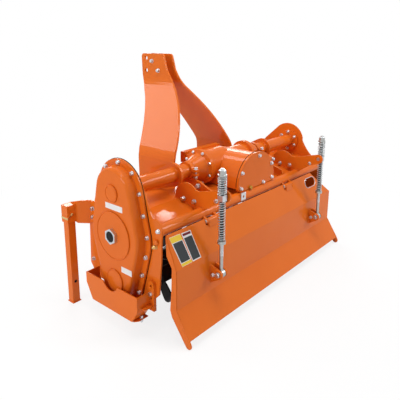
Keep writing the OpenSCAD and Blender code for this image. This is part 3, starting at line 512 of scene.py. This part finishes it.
# Board side of the rods: washers, pin heads and split pins on the eye pins, and a bolt beside each
LUG_WASHER = ((8, 0), (14, 0), (14, 2.5), (8, 2.5), (8, 0))
PIN_HEAD = ((0, 0), (12, 0), (12, 4), (10, 6), (0, 6))
SPLIT_PIN_HALF, SPLIT_PIN_R, SPLIT_PIN_INSET, SPLIT_PIN_BEND = 13.0, 1.6, 1.9, Vector((3, -4, -6))
LUG_BOLT_AT = (ROD_Y + 30, EYE_Z - 9)
for side, sign in SIDES:
    rod_x = sign * ROD_X
    bm = bmesh.new()
    for s in (-1, 1):
        revolve(bm, (rod_x + s * LUG_FACE, ROD_Y, EYE_Z), (s, 0, 0), LUG_WASHER)
    revolve(bm, (rod_x - EYE_PIN_HALF, ROD_Y, EYE_Z), (-1, 0, 0), PIN_HEAD)
    middle = Vector((rod_x + EYE_PIN_HALF - SPLIT_PIN_INSET, ROD_Y, EYE_Z))
    half = Vector((0, 0, SPLIT_PIN_HALF))
    sweep(bm, [middle + half, middle - half, middle - half + SPLIT_PIN_BEND], SPLIT_PIN_R, 8)
    hex_bolt(bm, (rod_x - LUG_FACE, *LUG_BOLT_AT), (-1, 0, 0), SMALL_HEX)
    piece(f"lug_pins_{side}", bm, "trailing_board", ZINC)

# Hinge pin heads, thin enough for the board's notches
HINGE_HEAD = ((0, 0), (9.5, 0), (9.5, 1.4), (7.5, 2.4), (0, 2.4))
bm = bmesh.new()
for x in HINGE_XS:
    for s in (-1, 1):
        revolve(bm, (x + s * HINGE_LUG_OUT, *HINGE), (s, 0, 0), HINGE_HEAD, 18)
piece("hinge_pin_heads", bm, "frame", ZINC)


def on_board(x, z, lift):
    """Point on the outside of the board's upper slope, lifted off it by that much."""
    (y0, z0), (y1, z1) = BOARD_PATH[:2]
    t = (z0 - z) / (z0 - z1)
    normal = Vector((0, -(z0 - z1), (y0 - y1))).normalized()
    return Vector((x, y0 + (y1 - y0) * t, z)) + normal * lift


# Lip round the oval hand hole
LIP_R, LIP_LIFT = 1.7, 0.6
bm = bmesh.new()
lip = []
for end, start in ((HAND_HOLE_HALF, -math.pi / 2), (-HAND_HOLE_HALF, math.pi / 2)):
    for a in [start + math.pi * k / 12 for k in range(13)]:
        lip.append(on_board(HAND_HOLE_X + end + HAND_HOLE_R * math.cos(a),
                            HAND_HOLE_Z + HAND_HOLE_R * math.sin(a), LIP_LIFT))
sweep(bm, lip, LIP_R, 8, closed=True)
piece("hand_hole_lip", bm, "trailing_board", ZINC, 60)

# Blank stickers: corners on the board's upper slope as (x, z), from the top left round,
# and boxes on the gear case as (y, y, z, z)
OUTER_STICKER = ((-718, 483), (-650, 481), (-627, 354), (-691, 354))
INNER_STICKER = ((-643, 480), (-584, 478), (-566, 354), (-623, 354))
CASE_STICKERS = ((-72, 46, 570, 597), (-121, -50, 280, 308))
STICKER_T, BACKING_LIFT, PRINT_LIFT, CASE_STICKER_LIFT = 0.5, 0.1, 0.5, 0.2
WHOLE = (0, 1, 0, 1)
# Each patch by its shares of the sticker: from left, to right, from top, to foot
STICKER_PATCHES = (
    ("board_sticker_outer", OUTER_STICKER, WHOLE, BACKING_LIFT, WHITE_VINYL),
    ("board_sticker_inner", INNER_STICKER, WHOLE, BACKING_LIFT, WHITE_VINYL),
    ("board_sticker_outer_field", OUTER_STICKER, (0.07, 0.93, 0.22, 0.88), PRINT_LIFT, DARK_VINYL),
    ("board_sticker_outer_top", OUTER_STICKER, (0.01, 0.99, 0.01, 0.2), PRINT_LIFT, YELLOW_VINYL),
    ("board_sticker_outer_foot", OUTER_STICKER, (0.01, 0.99, 0.9, 0.99), PRINT_LIFT, YELLOW_VINYL),
    ("board_sticker_inner_top", INNER_STICKER, (0.07, 0.93, 0.03, 0.11), PRINT_LIFT, MAROON_VINYL),
    ("board_sticker_inner_field", INNER_STICKER, (0.07, 0.93, 0.18, 0.96), PRINT_LIFT, DARK_VINYL),
)


def board_patch(corners, patch, lift):
    """Corner points of a patch of a four-cornered sticker on the board."""
    (ax, az), (bx, bz), (cx, cz), (dx, dz) = corners
    u0, u1, v0, v1 = patch
    outline = []
    for u, v in ((u0, v0), (u1, v0), (u1, v1), (u0, v1)):
        x = (ax + (bx - ax) * u) * (1 - v) + (dx + (cx - dx) * u) * v
        z = (az + (bz - az) * u) * (1 - v) + (dz + (cz - dz) * u) * v
        outline.append(on_board(x, z, lift))
    return outline


for name, corners, patch, lift, vinyl in STICKER_PATCHES:
    bm = bmesh.new()
    slab(bm, board_patch(corners, patch, lift), on_board(0, 0, STICKER_T) - on_board(0, 0, 0))
    piece(name, bm, "trailing_board", vinyl)

for index, (y0, y1, z0, z1) in enumerate(CASE_STICKERS):
    x = -FACE_X - CASE_STICKER_LIFT
    bm = bmesh.new()
    slab(bm, [(x, y0, z0), (x, y1, z0), (x, y1, z1), (x, y0, z1)], (-STICKER_T, 0, 0))
    piece(f"case_sticker_{index}", bm, "frame", WHITE_VINYL)

# Rolled edges pressed round the gear case's three bosses
ROLL_R, ROLL_LIFT = 3.4, 3.2
bm = bmesh.new()
for z, radius in BOSS_RADII:
    roll = [(-FACE_X - ROLL_LIFT, y, h) for y, h in ring_points((0, z), radius, 72)]
    sweep(bm, roll, ROLL_R, closed=True)
piece("case_rolls", bm, "frame", CASTING, 60)

# Sight glass in the plug of the gear case
SIGHT_GLASS = ((0, 0), (25.5, 0), (25.5, 1.5), (14, 2.6), (0, 3))
bm = bmesh.new()
revolve(bm, (-SIGHT_PLUG_X, 0, IDLER_Z), (-1, 0, 0), SIGHT_GLASS, 32)
piece("sight_glass", bm, "frame", GLASS)

# Bolts round the gear case's rim, the gearbox and axle flanges and the right bearing
RIM_BOLT_INSET, RIM_BOLT_STEP = 15, 96
AXLE_LINE, ROTOR_LINE = (0, AXLE_Z), (0, ROTOR_Z)
GEARBOX_RINGS = ((-1, ring_points(AXLE_LINE, 86, 8, TAU / 16)), (1, ring_points(AXLE_LINE, 70, 8, TAU / 16)))
AXLE_RING = ring_points(AXLE_LINE, 57, 6, TAU / 12)
BEARING_FACE_X, BEARING_RING = SIDE_X + 13, ring_points(ROTOR_LINE, 70, 6, 0.3)
bm = bmesh.new()
for y, z in case_path(RIM_BOLT_INSET, RIM_BOLT_STEP):
    hex_bolt(bm, (-RIM_X, y, z), (-1, 0, 0), RIM_HEX)
for sign, ring in GEARBOX_RINGS:
    for y, z in ring:
        hex_bolt(bm, (sign * FLANGE_X, y, z), (sign, 0, 0), SMALL_HEX, washer=False)
for sign in (-1, 1):
    for y, z in AXLE_RING:
        hex_bolt(bm, (sign * (SIDE_X - SIDE_T - FLANGE_T), y, z), (-sign, 0, 0), MEDIUM_HEX)
for y, z in AXLE_RING:
    hex_bolt(bm, (SIDE_X, y, z), (1, 0, 0), MEDIUM_HEX, nut=True)
for y, z in BEARING_RING:
    hex_bolt(bm, (BEARING_FACE_X, y, z), (1, 0, 0), MEDIUM_HEX)
piece("flange_bolts", bm, "frame", ZINC)

# Other bolts on the frame, placed by (y, z) on plates and by (x, z) on the gearbox's rear cover
GUSSET_BOLT = (-85, 580)
SPRING_PLATE_BOLTS, TRUNNION_BOLT = ((-112, 556), (-182, 556)), (-318, 590)
MAST_BOLTS = ((531, 1190), (478, 1134))
STAND_BRACKET_BOLTS, STAND_BRACKET_T = ((219, 506), (219, 462)), 8
REAR_SIDE_BOLT, FRONT_SIDE_BOLT = (-236, 512), (240, 230)
COVER_BOLTS = ((-148, 557), (148, 557), (-140, 640), (140, 640), (16, 706), (60, 548))
COVER_SHOULDER_BOLT = (182, -219, 652)
GUARD_STRAP_BOLT = (-757, -194, 205)
SKID_BOLTS, SKID_LUG_T = ((-110, 176), (-110, 204), (130, 176), (130, 204)), 6
bm = bmesh.new()
for sign in (-1, 1):
    gusset = sign * GUSSET_X
    hex_bolt(bm, (gusset, CLAMP_Y, AXLE_Z + CLAMP_EAR_Z), (0, 0, 1), MEDIUM_HEX)
    hex_bolt(bm, (gusset, CLAMP_Y, AXLE_Z - CLAMP_EAR_Z), (0, 0, -1), MEDIUM_HEX, nut=True)
    sweep(bm, [(gusset, CLAMP_Y, AXLE_Z + s * CLAMP_GAP_Z) for s in (-1, 1)], CLAMP_BOLT_R)
    hex_bolt(bm, (gusset - GUSSET_T / 2, *GUSSET_BOLT), (-1, 0, 0), GUSSET_HEX)
    hex_bolt(bm, (gusset + GUSSET_T / 2, *GUSSET_BOLT), (1, 0, 0), GUSSET_HEX, nut=True)
    spring_plate = sign * SPRING_PLATE_X
    for y, z in SPRING_PLATE_BOLTS:
        hex_bolt(bm, (spring_plate - SPRING_PLATE_T / 2, y, z), (-1, 0, 0), LARGE_HEX)
        hex_bolt(bm, (spring_plate + SPRING_PLATE_T / 2, y, z), (1, 0, 0), LARGE_HEX, nut=True)
    hex_bolt(bm, (spring_plate - SPRING_PLATE_T / 2, *TRUNNION_BOLT), (-1, 0, 0), SMALL_HEX)
    for y, z in MAST_BOLTS:
        hex_bolt(bm, (sign * MAST_HEAD_X, y, z), (sign, 0, 0), LARGE_HEX, nut=sign > 0)
    for y, z in STAND_BRACKET_BOLTS:
        hex_bolt(bm, (sign * (SIDE_X + STAND_BRACKET_T), y, z), (sign, 0, 0), MEDIUM_HEX)
    hex_bolt(bm, (sign * SIDE_X, *REAR_SIDE_BOLT), (sign, 0, 0), SIDE_HEX)
    hex_bolt(bm, (sign * SIDE_X, *FRONT_SIDE_BOLT), (sign, 0, 0), SMALL_HEX)
for x, z in COVER_BOLTS:
    hex_bolt(bm, (x, COVER_Y, z), (0, -1, 0), SMALL_HEX)
hex_bolt(bm, COVER_SHOULDER_BOLT, (0, -1, 0), SMALL_HEX)
hex_bolt(bm, GUARD_STRAP_BOLT, (-1, 0, 0), LARGE_HEX)
for y, z in SKID_BOLTS:
    hex_bolt(bm, (SIDE_X + SKID_LUG_T, y, z), (1, 0, 0), SMALL_HEX)
piece("frame_bolts", bm, "frame", ZINC)

# Sole plate and cleat under the skid guard's rear corner, and the sole's bolt
SOLE_Z, SOLE_T, CLEAT_Z, CLEAT_T = 80, 4, 146, 5
SOLE = ((-833, -140), (-757, -140), (-757, -170), (-812, -170), (-830, -156))
CLEAT = ((-808, -184), (-808, -203), (-746, -215), (-746, -184))
SOLE_BOLT = (-788, -158)
bm = bmesh.new()
slab(bm, [(x, y, SOLE_Z) for x, y in SOLE], (0, 0, SOLE_T))
slab(bm, [(x, y, CLEAT_Z) for x, y in CLEAT], (0, 0, CLEAT_T))
piece("guard_sole", bm, "frame", ENAMEL)
bm = bmesh.new()
hex_bolt(bm, (*SOLE_BOLT, SOLE_Z), (0, 0, -1), SMALL_HEX, nut=True)
hex_bolt(bm, (*SOLE_BOLT, SOLE_Z + SOLE_T), (0, 0, 1), SMALL_HEX)
piece("sole_bolt", bm, "frame", ZINC)

# Blade bolts: two through each blade and its flange, by distance from the rotor axis and across the blade
BLADE_BOLTS = ((84, -9), (102, 9))
bm = bmesh.new()
for i, flange_x in enumerate(BLADE_FLANGES):
    for k in range(BLADES_A_FLANGE):
        turn = math.radians(360 / BLADES_A_FLANGE * k + BLADE_STAGGER * i + BLADE_START)
        hand = 1 if k % 2 == 0 else -1
        for radius, across in BLADE_BOLTS:
            y = -radius * math.sin(turn) + across * math.cos(turn)
            z = ROTOR_Z + radius * math.cos(turn) + across * math.sin(turn)
            hex_bolt(bm, (flange_x + hand * BLADE_FRONT, y, z), (hand, 0, 0), MEDIUM_HEX)
            hex_bolt(bm, (flange_x - hand * BLADE_BACK, y, z), (-hand, 0, 0), MEDIUM_HEX, nut=True)
piece("blade_bolts", bm, "rotor", ZINC)

# Grease nipple on the right bearing
NIPPLE = ((0, 0), (6, 0), (6, 5), (3.4, 5), (3.4, 9), (4.6, 11), (3, 14), (0, 14))
NIPPLE_AT = (SIDE_X + 24, 0, ROTOR_Z + 53)
bm = bmesh.new()
revolve(bm, NIPPLE_AT, (0, 0, 1), NIPPLE, 14)
piece("grease_nipple", bm, "frame", BRASS)

# Black sealing line round the rear cover's arch
SEAL_R = 1.5
bm = bmesh.new()
quarter = arc((COVER_ARCH_X, COVER_ARCH_Z), COVER_ARCH_R, range(0, 96, 6))
seam = [(x, COVER_SEAM_Y, z) for x, z in quarter]
seam += [(-x, COVER_SEAM_Y, z) for x, z in quarter[::-1]]
sweep(bm, seam, SEAL_R, 8)
piece("cover_seal", bm, "frame", GASKET, 60)

# Painted boss and yellow-plated nut near the left side plate's rear edge
SIDE_BOSS = ((0, 0), (13, 0), (13, 8), (10, 11), (0, 11))
SIDE_BOSS_AT, SIDE_NUT_AT = (-224, 459), (-217, 436)
bm = bmesh.new()
revolve(bm, (-SIDE_X, *SIDE_BOSS_AT), (-1, 0, 0), SIDE_BOSS)
piece("side_plate_boss", bm, "frame", ENAMEL)
bm = bmesh.new()
hex_bolt(bm, (-SIDE_X, *SIDE_NUT_AT), (-1, 0, 0), MEDIUM_HEX, nut=True)
piece("side_plate_nut", bm, "frame", GOLD_ZINC)

# Drain plug low on the gearbox's rear cover; breather and filler plug on the shelf in front of the barrel
DRAIN_AT, BREATHER_X, FILLER_X = (-66, COVER_Y, 546), -130, -60
BREATHER = ((0, 0), (13, 0), (13, 6), (9, 6), (9, 12), (15, 12), (15, 20), (11, 24), (0, 24))
bm = bmesh.new()
hex_bolt(bm, DRAIN_AT, (0, -1, 0), LARGE_HEX, washer=False)
piece("drain_plug", bm, "frame", BRASS)
bm = bmesh.new()
revolve(bm, (BREATHER_X, SHELF_Y, SHELF_Z), (0, 0, 1), BREATHER, 24)
hex_bolt(bm, (FILLER_X, SHELF_Y, SHELF_Z), (0, 0, 1), FILLER_HEX, washer=False)
piece("breather_and_filler", bm, "frame", ZINC)

# Pierced tab on the rear cross tube
TAB_X, TAB_Y, TAB_Z = -150.0, REAR_TUBE[0] - REAR_TUBE_R - 2.0, 520.0
TAB_T, TAB_HALF_W, TAB_HALF_H, TAB_HOLE_R, TAB_POINTS = 4, 20, 22, 7, 20
bm = bmesh.new()
hole, edge = [], []
for a in [TAU * k / TAB_POINTS for k in range(TAB_POINTS)]:
    hole.append((TAB_X + TAB_HOLE_R * math.cos(a), TAB_Z + TAB_HOLE_R * math.sin(a)))
    edge_x = max(-TAB_HALF_W, min(TAB_HALF_W, 2 * TAB_HALF_W * math.cos(a)))
    edge_z = max(-TAB_HALF_H, min(TAB_HALF_H, 2 * TAB_HALF_H * math.sin(a)))
    edge.append((TAB_X + edge_x, TAB_Z + edge_z))
h0, e0, h1, e1 = [[bm.verts.new((x, y, z)) for x, z in loop]
                  for y in (TAB_Y, TAB_Y + TAB_T) for loop in (hole, edge)]
for k in range(TAB_POINTS):
    n = (k + 1) % TAB_POINTS
    bm.faces.new((h0[k], h0[n], e0[n], e0[k]))
    bm.faces.new((h1[n], h1[k], e1[k], e1[n]))
    bm.faces.new((h0[n], h0[k], h1[k], h1[n]))
    bm.faces.new((e0[k], e0[n], e1[n], e1[k]))
piece("pierced_tab", bm, "frame", ZINC)

# Parking stands: pins with a flat spring bail round the sleeve, the leg's cap and its lower hole's plugs;
# and the linch pins on the lower link pins
STAND_PIN = ((0, 0), (6.5, 0), (6.5, 4), (4.5, 5.5), (0, 5.5))
BAIL_HALF_W, BAIL_T, BAIL_SKIN, BAIL_REACH, BAIL_ROOT = 5, 1.6, 0.6, 0.5, (-4, 2)
CAP_HALF, CAP_CORNER_R, CAP_T = 14, 5.6, 6
HOLE_PLUG = ((0, 0), (7.5, 0), (7.5, 0.8), (5.5, 0.8), (5, 0.3), (0, 0.3))
LINCH_RING_R, LINCH_RING_DROP, LINCH_WIRE_R = 22, 6, 2.0
LINCH_PIN_R, LINCH_PIN_ENDS = 4.2, (-20, 21)
for side, sign in SIDES:
    x = sign * STAND_X
    bail_low, bail_high = BAIL_Z - BAIL_HALF_W, BAIL_Z + BAIL_HALF_W
    outside, limb_end = x + sign * SLEEVE_HALF, x + sign * (SLEEVE_HALF + BAIL_REACH)
    root_low, root_high = [x + sign * root for root in BAIL_ROOT]
    bm = bmesh.new()
    for out in (-1, 1):
        face = STAND_Y + out * SLEEVE_HALF
        revolve(bm, (x, face, PIN_Z), (0, out, 0), STAND_PIN, 18)
        slab(bm, [(root_low, face, PIN_Z - BAIL_HALF_W), (root_high, face, PIN_Z + BAIL_HALF_W),
                  (limb_end, face, bail_high), (limb_end, face, bail_low)], (0, out * BAIL_T, 0))
    aft, fore = STAND_Y - SLEEVE_HALF - BAIL_T, STAND_Y + SLEEVE_HALF + BAIL_T
    slab(bm, [(outside, aft, bail_low), (outside, aft, bail_high),
              (outside, fore, bail_high), (outside, fore, bail_low)], (sign * BAIL_SKIN, 0, 0))
    piece(f"stand_pin_{side}", bm, "frame", GOLD_ZINC)
    bm = bmesh.new()
    rounded = []
    for quarter, (a, b) in enumerate(((1, 1), (-1, 1), (-1, -1), (1, -1))):
        for t in [TAU / 4 * (quarter + k / 5) for k in range(6)]:
            rounded.append((x + a * CAP_HALF + CAP_CORNER_R * math.cos(t),
                            STAND_Y + b * CAP_HALF + CAP_CORNER_R * math.sin(t), LEG_TOP_Z))
    slab(bm, rounded, (0, 0, CAP_T))
    piece(f"stand_cap_{side}", bm, f"stand_leg_{side}", ENAMEL)
    bm = bmesh.new()
    for out in (-1, 1):
        revolve(bm, (x, STAND_Y + out * LEG_HALF, LEG_HOLE_Z), (0, out, 0), HOLE_PLUG)
    piece(f"leg_hole_plugs_{side}", bm, f"stand_leg_{side}", GASKET)
    bm = bmesh.new()
    linch_x = sign * LINCH_X
    ring = []
    for a in [TAU * k / 28 for k in range(28)]:
        ring.append((linch_x, LINK_PIN_Y + LINCH_RING_R * math.sin(a),
                     LINK_PIN_Z - LINCH_RING_DROP + LINCH_RING_R * math.cos(a)))
    sweep(bm, ring, LINCH_WIRE_R, 8, closed=True)
    sweep(bm, [(linch_x, LINK_PIN_Y, LINK_PIN_Z + end) for end in LINCH_PIN_ENDS], LINCH_PIN_R, 12)
    piece(f"linch_pin_{side}", bm, "frame", ZINC)

# Weld beads, painted over, along (y, z) lines
TUBE_WELD_R, AXLE_WELD_R = REAR_TUBE_R + 1, 39
SLEEVE_WELD_X, SLEEVE_WELD = 802.0, ((289.5, 440), (289.5, 522))
HINGE_LUG_WELD = ((REAR_TUBE[0] - 29, REAR_TUBE[1] - 2), (REAR_TUBE[0] - 20, REAR_TUBE[1] - 22))
# Each row: the plate's middle, its thickness, the line along both its faces and the bead's radius
PLATE_WELDS = (
    (GUSSET_X, GUSSET_T, ((-76, DECK_Z + 1), HOOD_FOOT), 3.2),
    (GUSSET_X, GUSSET_T, arc(REAR_TUBE, TUBE_WELD_R, range(30, 100, 14)), 3.2),
    (SPRING_PLATE_X, SPRING_PLATE_T, ((-60, DECK_Z + 1), (-72, DECK_Z + 1), HOOD_FOOT), 3.2),
    (SPRING_PLATE_X, SPRING_PLATE_T, arc(REAR_TUBE, TUBE_WELD_R, range(40, 130, 14)), 3.2),
    (MAST_X, MAST_T, ((254, 566), (328, 566)), 3.6),
    (MAST_X, MAST_T, ((257, 497), (257, 564)), 3.2),
    (HITCH_X, HITCH_T, ((256, 566), (327, 566), (327, 496)), 3.4),
    (HITCH_X, HITCH_T, arc(AXLE_LINE, AXLE_WELD_R, range(0, 361, 15)), 3.2),
)
bm = bmesh.new()
for sign in (-1, 1):
    inside = sign * (SIDE_X - SIDE_T)
    plane_bead(bm, inside, HOOD_LINE, 4.0)
    plane_bead(bm, inside, arc(REAR_TUBE, TUBE_WELD_R, range(20, 300, 14)), 3.6)
    for middle, thickness, line, radius in PLATE_WELDS:
        for half in (-thickness / 2, thickness / 2):
            plane_bead(bm, sign * (middle + half), line, radius)
    plane_bead(bm, sign * SLEEVE_WELD_X, SLEEVE_WELD, 3.0)
for x in HINGE_XS:
    for s in (-1, 1):
        for lug_face in (HINGE_LUG_IN, HINGE_LUG_OUT):
            plane_bead(bm, x + s * lug_face, HINGE_LUG_WELD, 2.6)
piece("frame_welds", bm, "frame", ENAMEL, 80)

LUG_WELD = ((-328, 289), (-328, 202))
bm = bmesh.new()
for sign in (-1, 1):
    for lug in (-LUG_MIDDLE, LUG_MIDDLE):
        for half in (-LUG_HALF_T, LUG_HALF_T):
            plane_bead(bm, sign * ROD_X + lug + half, LUG_WELD, 2.8)
piece("board_welds", bm, "trailing_board", ENAMEL, 80)


# Stage, light and camera

def seen_directly(tree):
    """1 for what the camera sees, straight or by gloss or glass, and 0 for what lights the object."""
    path = add(tree, "ShaderNodeLightPath")
    mirrored = add(tree, "ShaderNodeMath", {"operation": "MAXIMUM"}, {
        0: path.outputs["Is Camera Ray"], 1: path.outputs["Is Glossy Ray"]}).outputs[0]
    return add(tree, "ShaderNodeMath", {"operation": "MAXIMUM"}, {
        0: mirrored, 1: path.outputs["Is Transmission Ray"]}).outputs[0]


# Matt seamless paper: white to the eye, with the object's soft shadow near it
floor_made, floor_tree, floor_shader, floor_coords = material("pale_studio_floor", 0.9)
floor_shader.inputs["Base Color"].default_value = colour("#F6F6F6")
away = add(floor_tree, "ShaderNodeVectorMath", {"operation": "LENGTH"}, {0: floor_coords}).outputs["Value"]
share = add(floor_tree, "ShaderNodeMapRange", {"interpolation_type": "SMOOTHSTEP"}, {
    "Value": away, "From Min": 0.7, "From Max": 2.2, "To Min": 0.8, "To Max": 1.0}).outputs["Result"]
shown = add(floor_tree, "ShaderNodeMath", {"operation": "MULTIPLY"}, {
    0: seen_directly(floor_tree), 1: share}).outputs[0]
paper = add(floor_tree, "ShaderNodeEmission", None, {"Color": colour("#FFFFFF"), "Strength": 1.0}).outputs[0]
blended = add(floor_tree, "ShaderNodeMixShader", None, {
    0: shown, 1: floor_shader.outputs[0], 2: paper}).outputs[0]
floor_tree.links.new(blended, floor_tree.nodes["Material Output"].inputs["Surface"])
bpy.ops.mesh.primitive_plane_add(size=60)
floor = bpy.context.object
floor.name = "studio_floor"
floor.data.materials.append(floor_made)

world = bpy.data.worlds.new("studio")
scene.world = world
world.use_nodes = True
sky = world.node_tree
sky_light = sky.nodes["Background"]
sky_light.inputs["Color"].default_value = colour("#FFFFFF")
sky_light.inputs["Strength"].default_value = 0.22
white = add(sky, "ShaderNodeBackground", None, {"Color": colour("#FFFFFF"), "Strength": 1.0}).outputs[0]
sky_mix = add(sky, "ShaderNodeMixShader", None, {0: seen_directly(sky), 1: sky_light.outputs[0], 2: white})
sky.links.new(sky_mix.outputs[0], sky.nodes["World Output"].inputs["Surface"])

# Lamps, in metres in the row frame: place, target, size and watts
LAMPS = {
    "front_left_softbox": ((-2.5, 3.85, 3.45), (-0.15, 0.25, 0.87), (1.5, 1.4), 42),
    "left_softbox": ((-4.4, 0.15, 2.0), (0, 0, 0.5), (2.2, 1.8), 74),
    "overhead": ((-0.4, -0.6, 4.2), (0, 0, 0.4), (2.2, 1.6), 76),
    "rear_right_softbox": ((3.0, -3.7, 3.3), (0, 0, 0.4), (2.0, 1.6), 112),
    "window_front_right": ((2.45, 3.2, 2.1), (-0.4, 0, 0.5), (3.2, 0.7), 80),
    "skylight_front": ((0.52, 2.31, 4.3), (-0.08, -0.25, 0.7), (0.8, 0.5), 11.5),
    "skylight_right": ((2.65, 1.8, 3.7), (-0.61, -0.25, 0.53), (0.24, 0.16), 2.6),
}
for name, (place, target, size, watts) in LAMPS.items():
    lamp_data = bpy.data.lights.new(name, "AREA")
    lamp_data.shape = "RECTANGLE"
    lamp_data.size, lamp_data.size_y = size
    lamp_data.energy = watts
    lamp = bpy.data.objects.new(name, lamp_data)
    scene.collection.objects.link(lamp)
    lamp.location = place
    lamp.rotation_euler = (Vector(target) - Vector(place)).to_track_quat("-Z", "Y").to_euler()

# Camera from the rear left, as fitted to the photo
CAMERA_PLACE = (-2.0057, -1.6696, 1.3021)
YAW, PITCH, ROLL = map(math.radians, (49.06, 13.29, -0.125))
scene.view_settings.view_transform = "Standard"
camera_data = bpy.data.cameras.new("photo_camera")
camera_data.sensor_width = 36.0
camera_data.lens = 41.0
camera_data.shift_y = -0.125
camera = bpy.data.objects.new("photo_camera", camera_data)
scene.collection.objects.link(camera)
scene.camera = camera
camera.location = CAMERA_PLACE
camera.rotation_euler = (math.pi / 2 - PITCH, ROLL, -YAW)
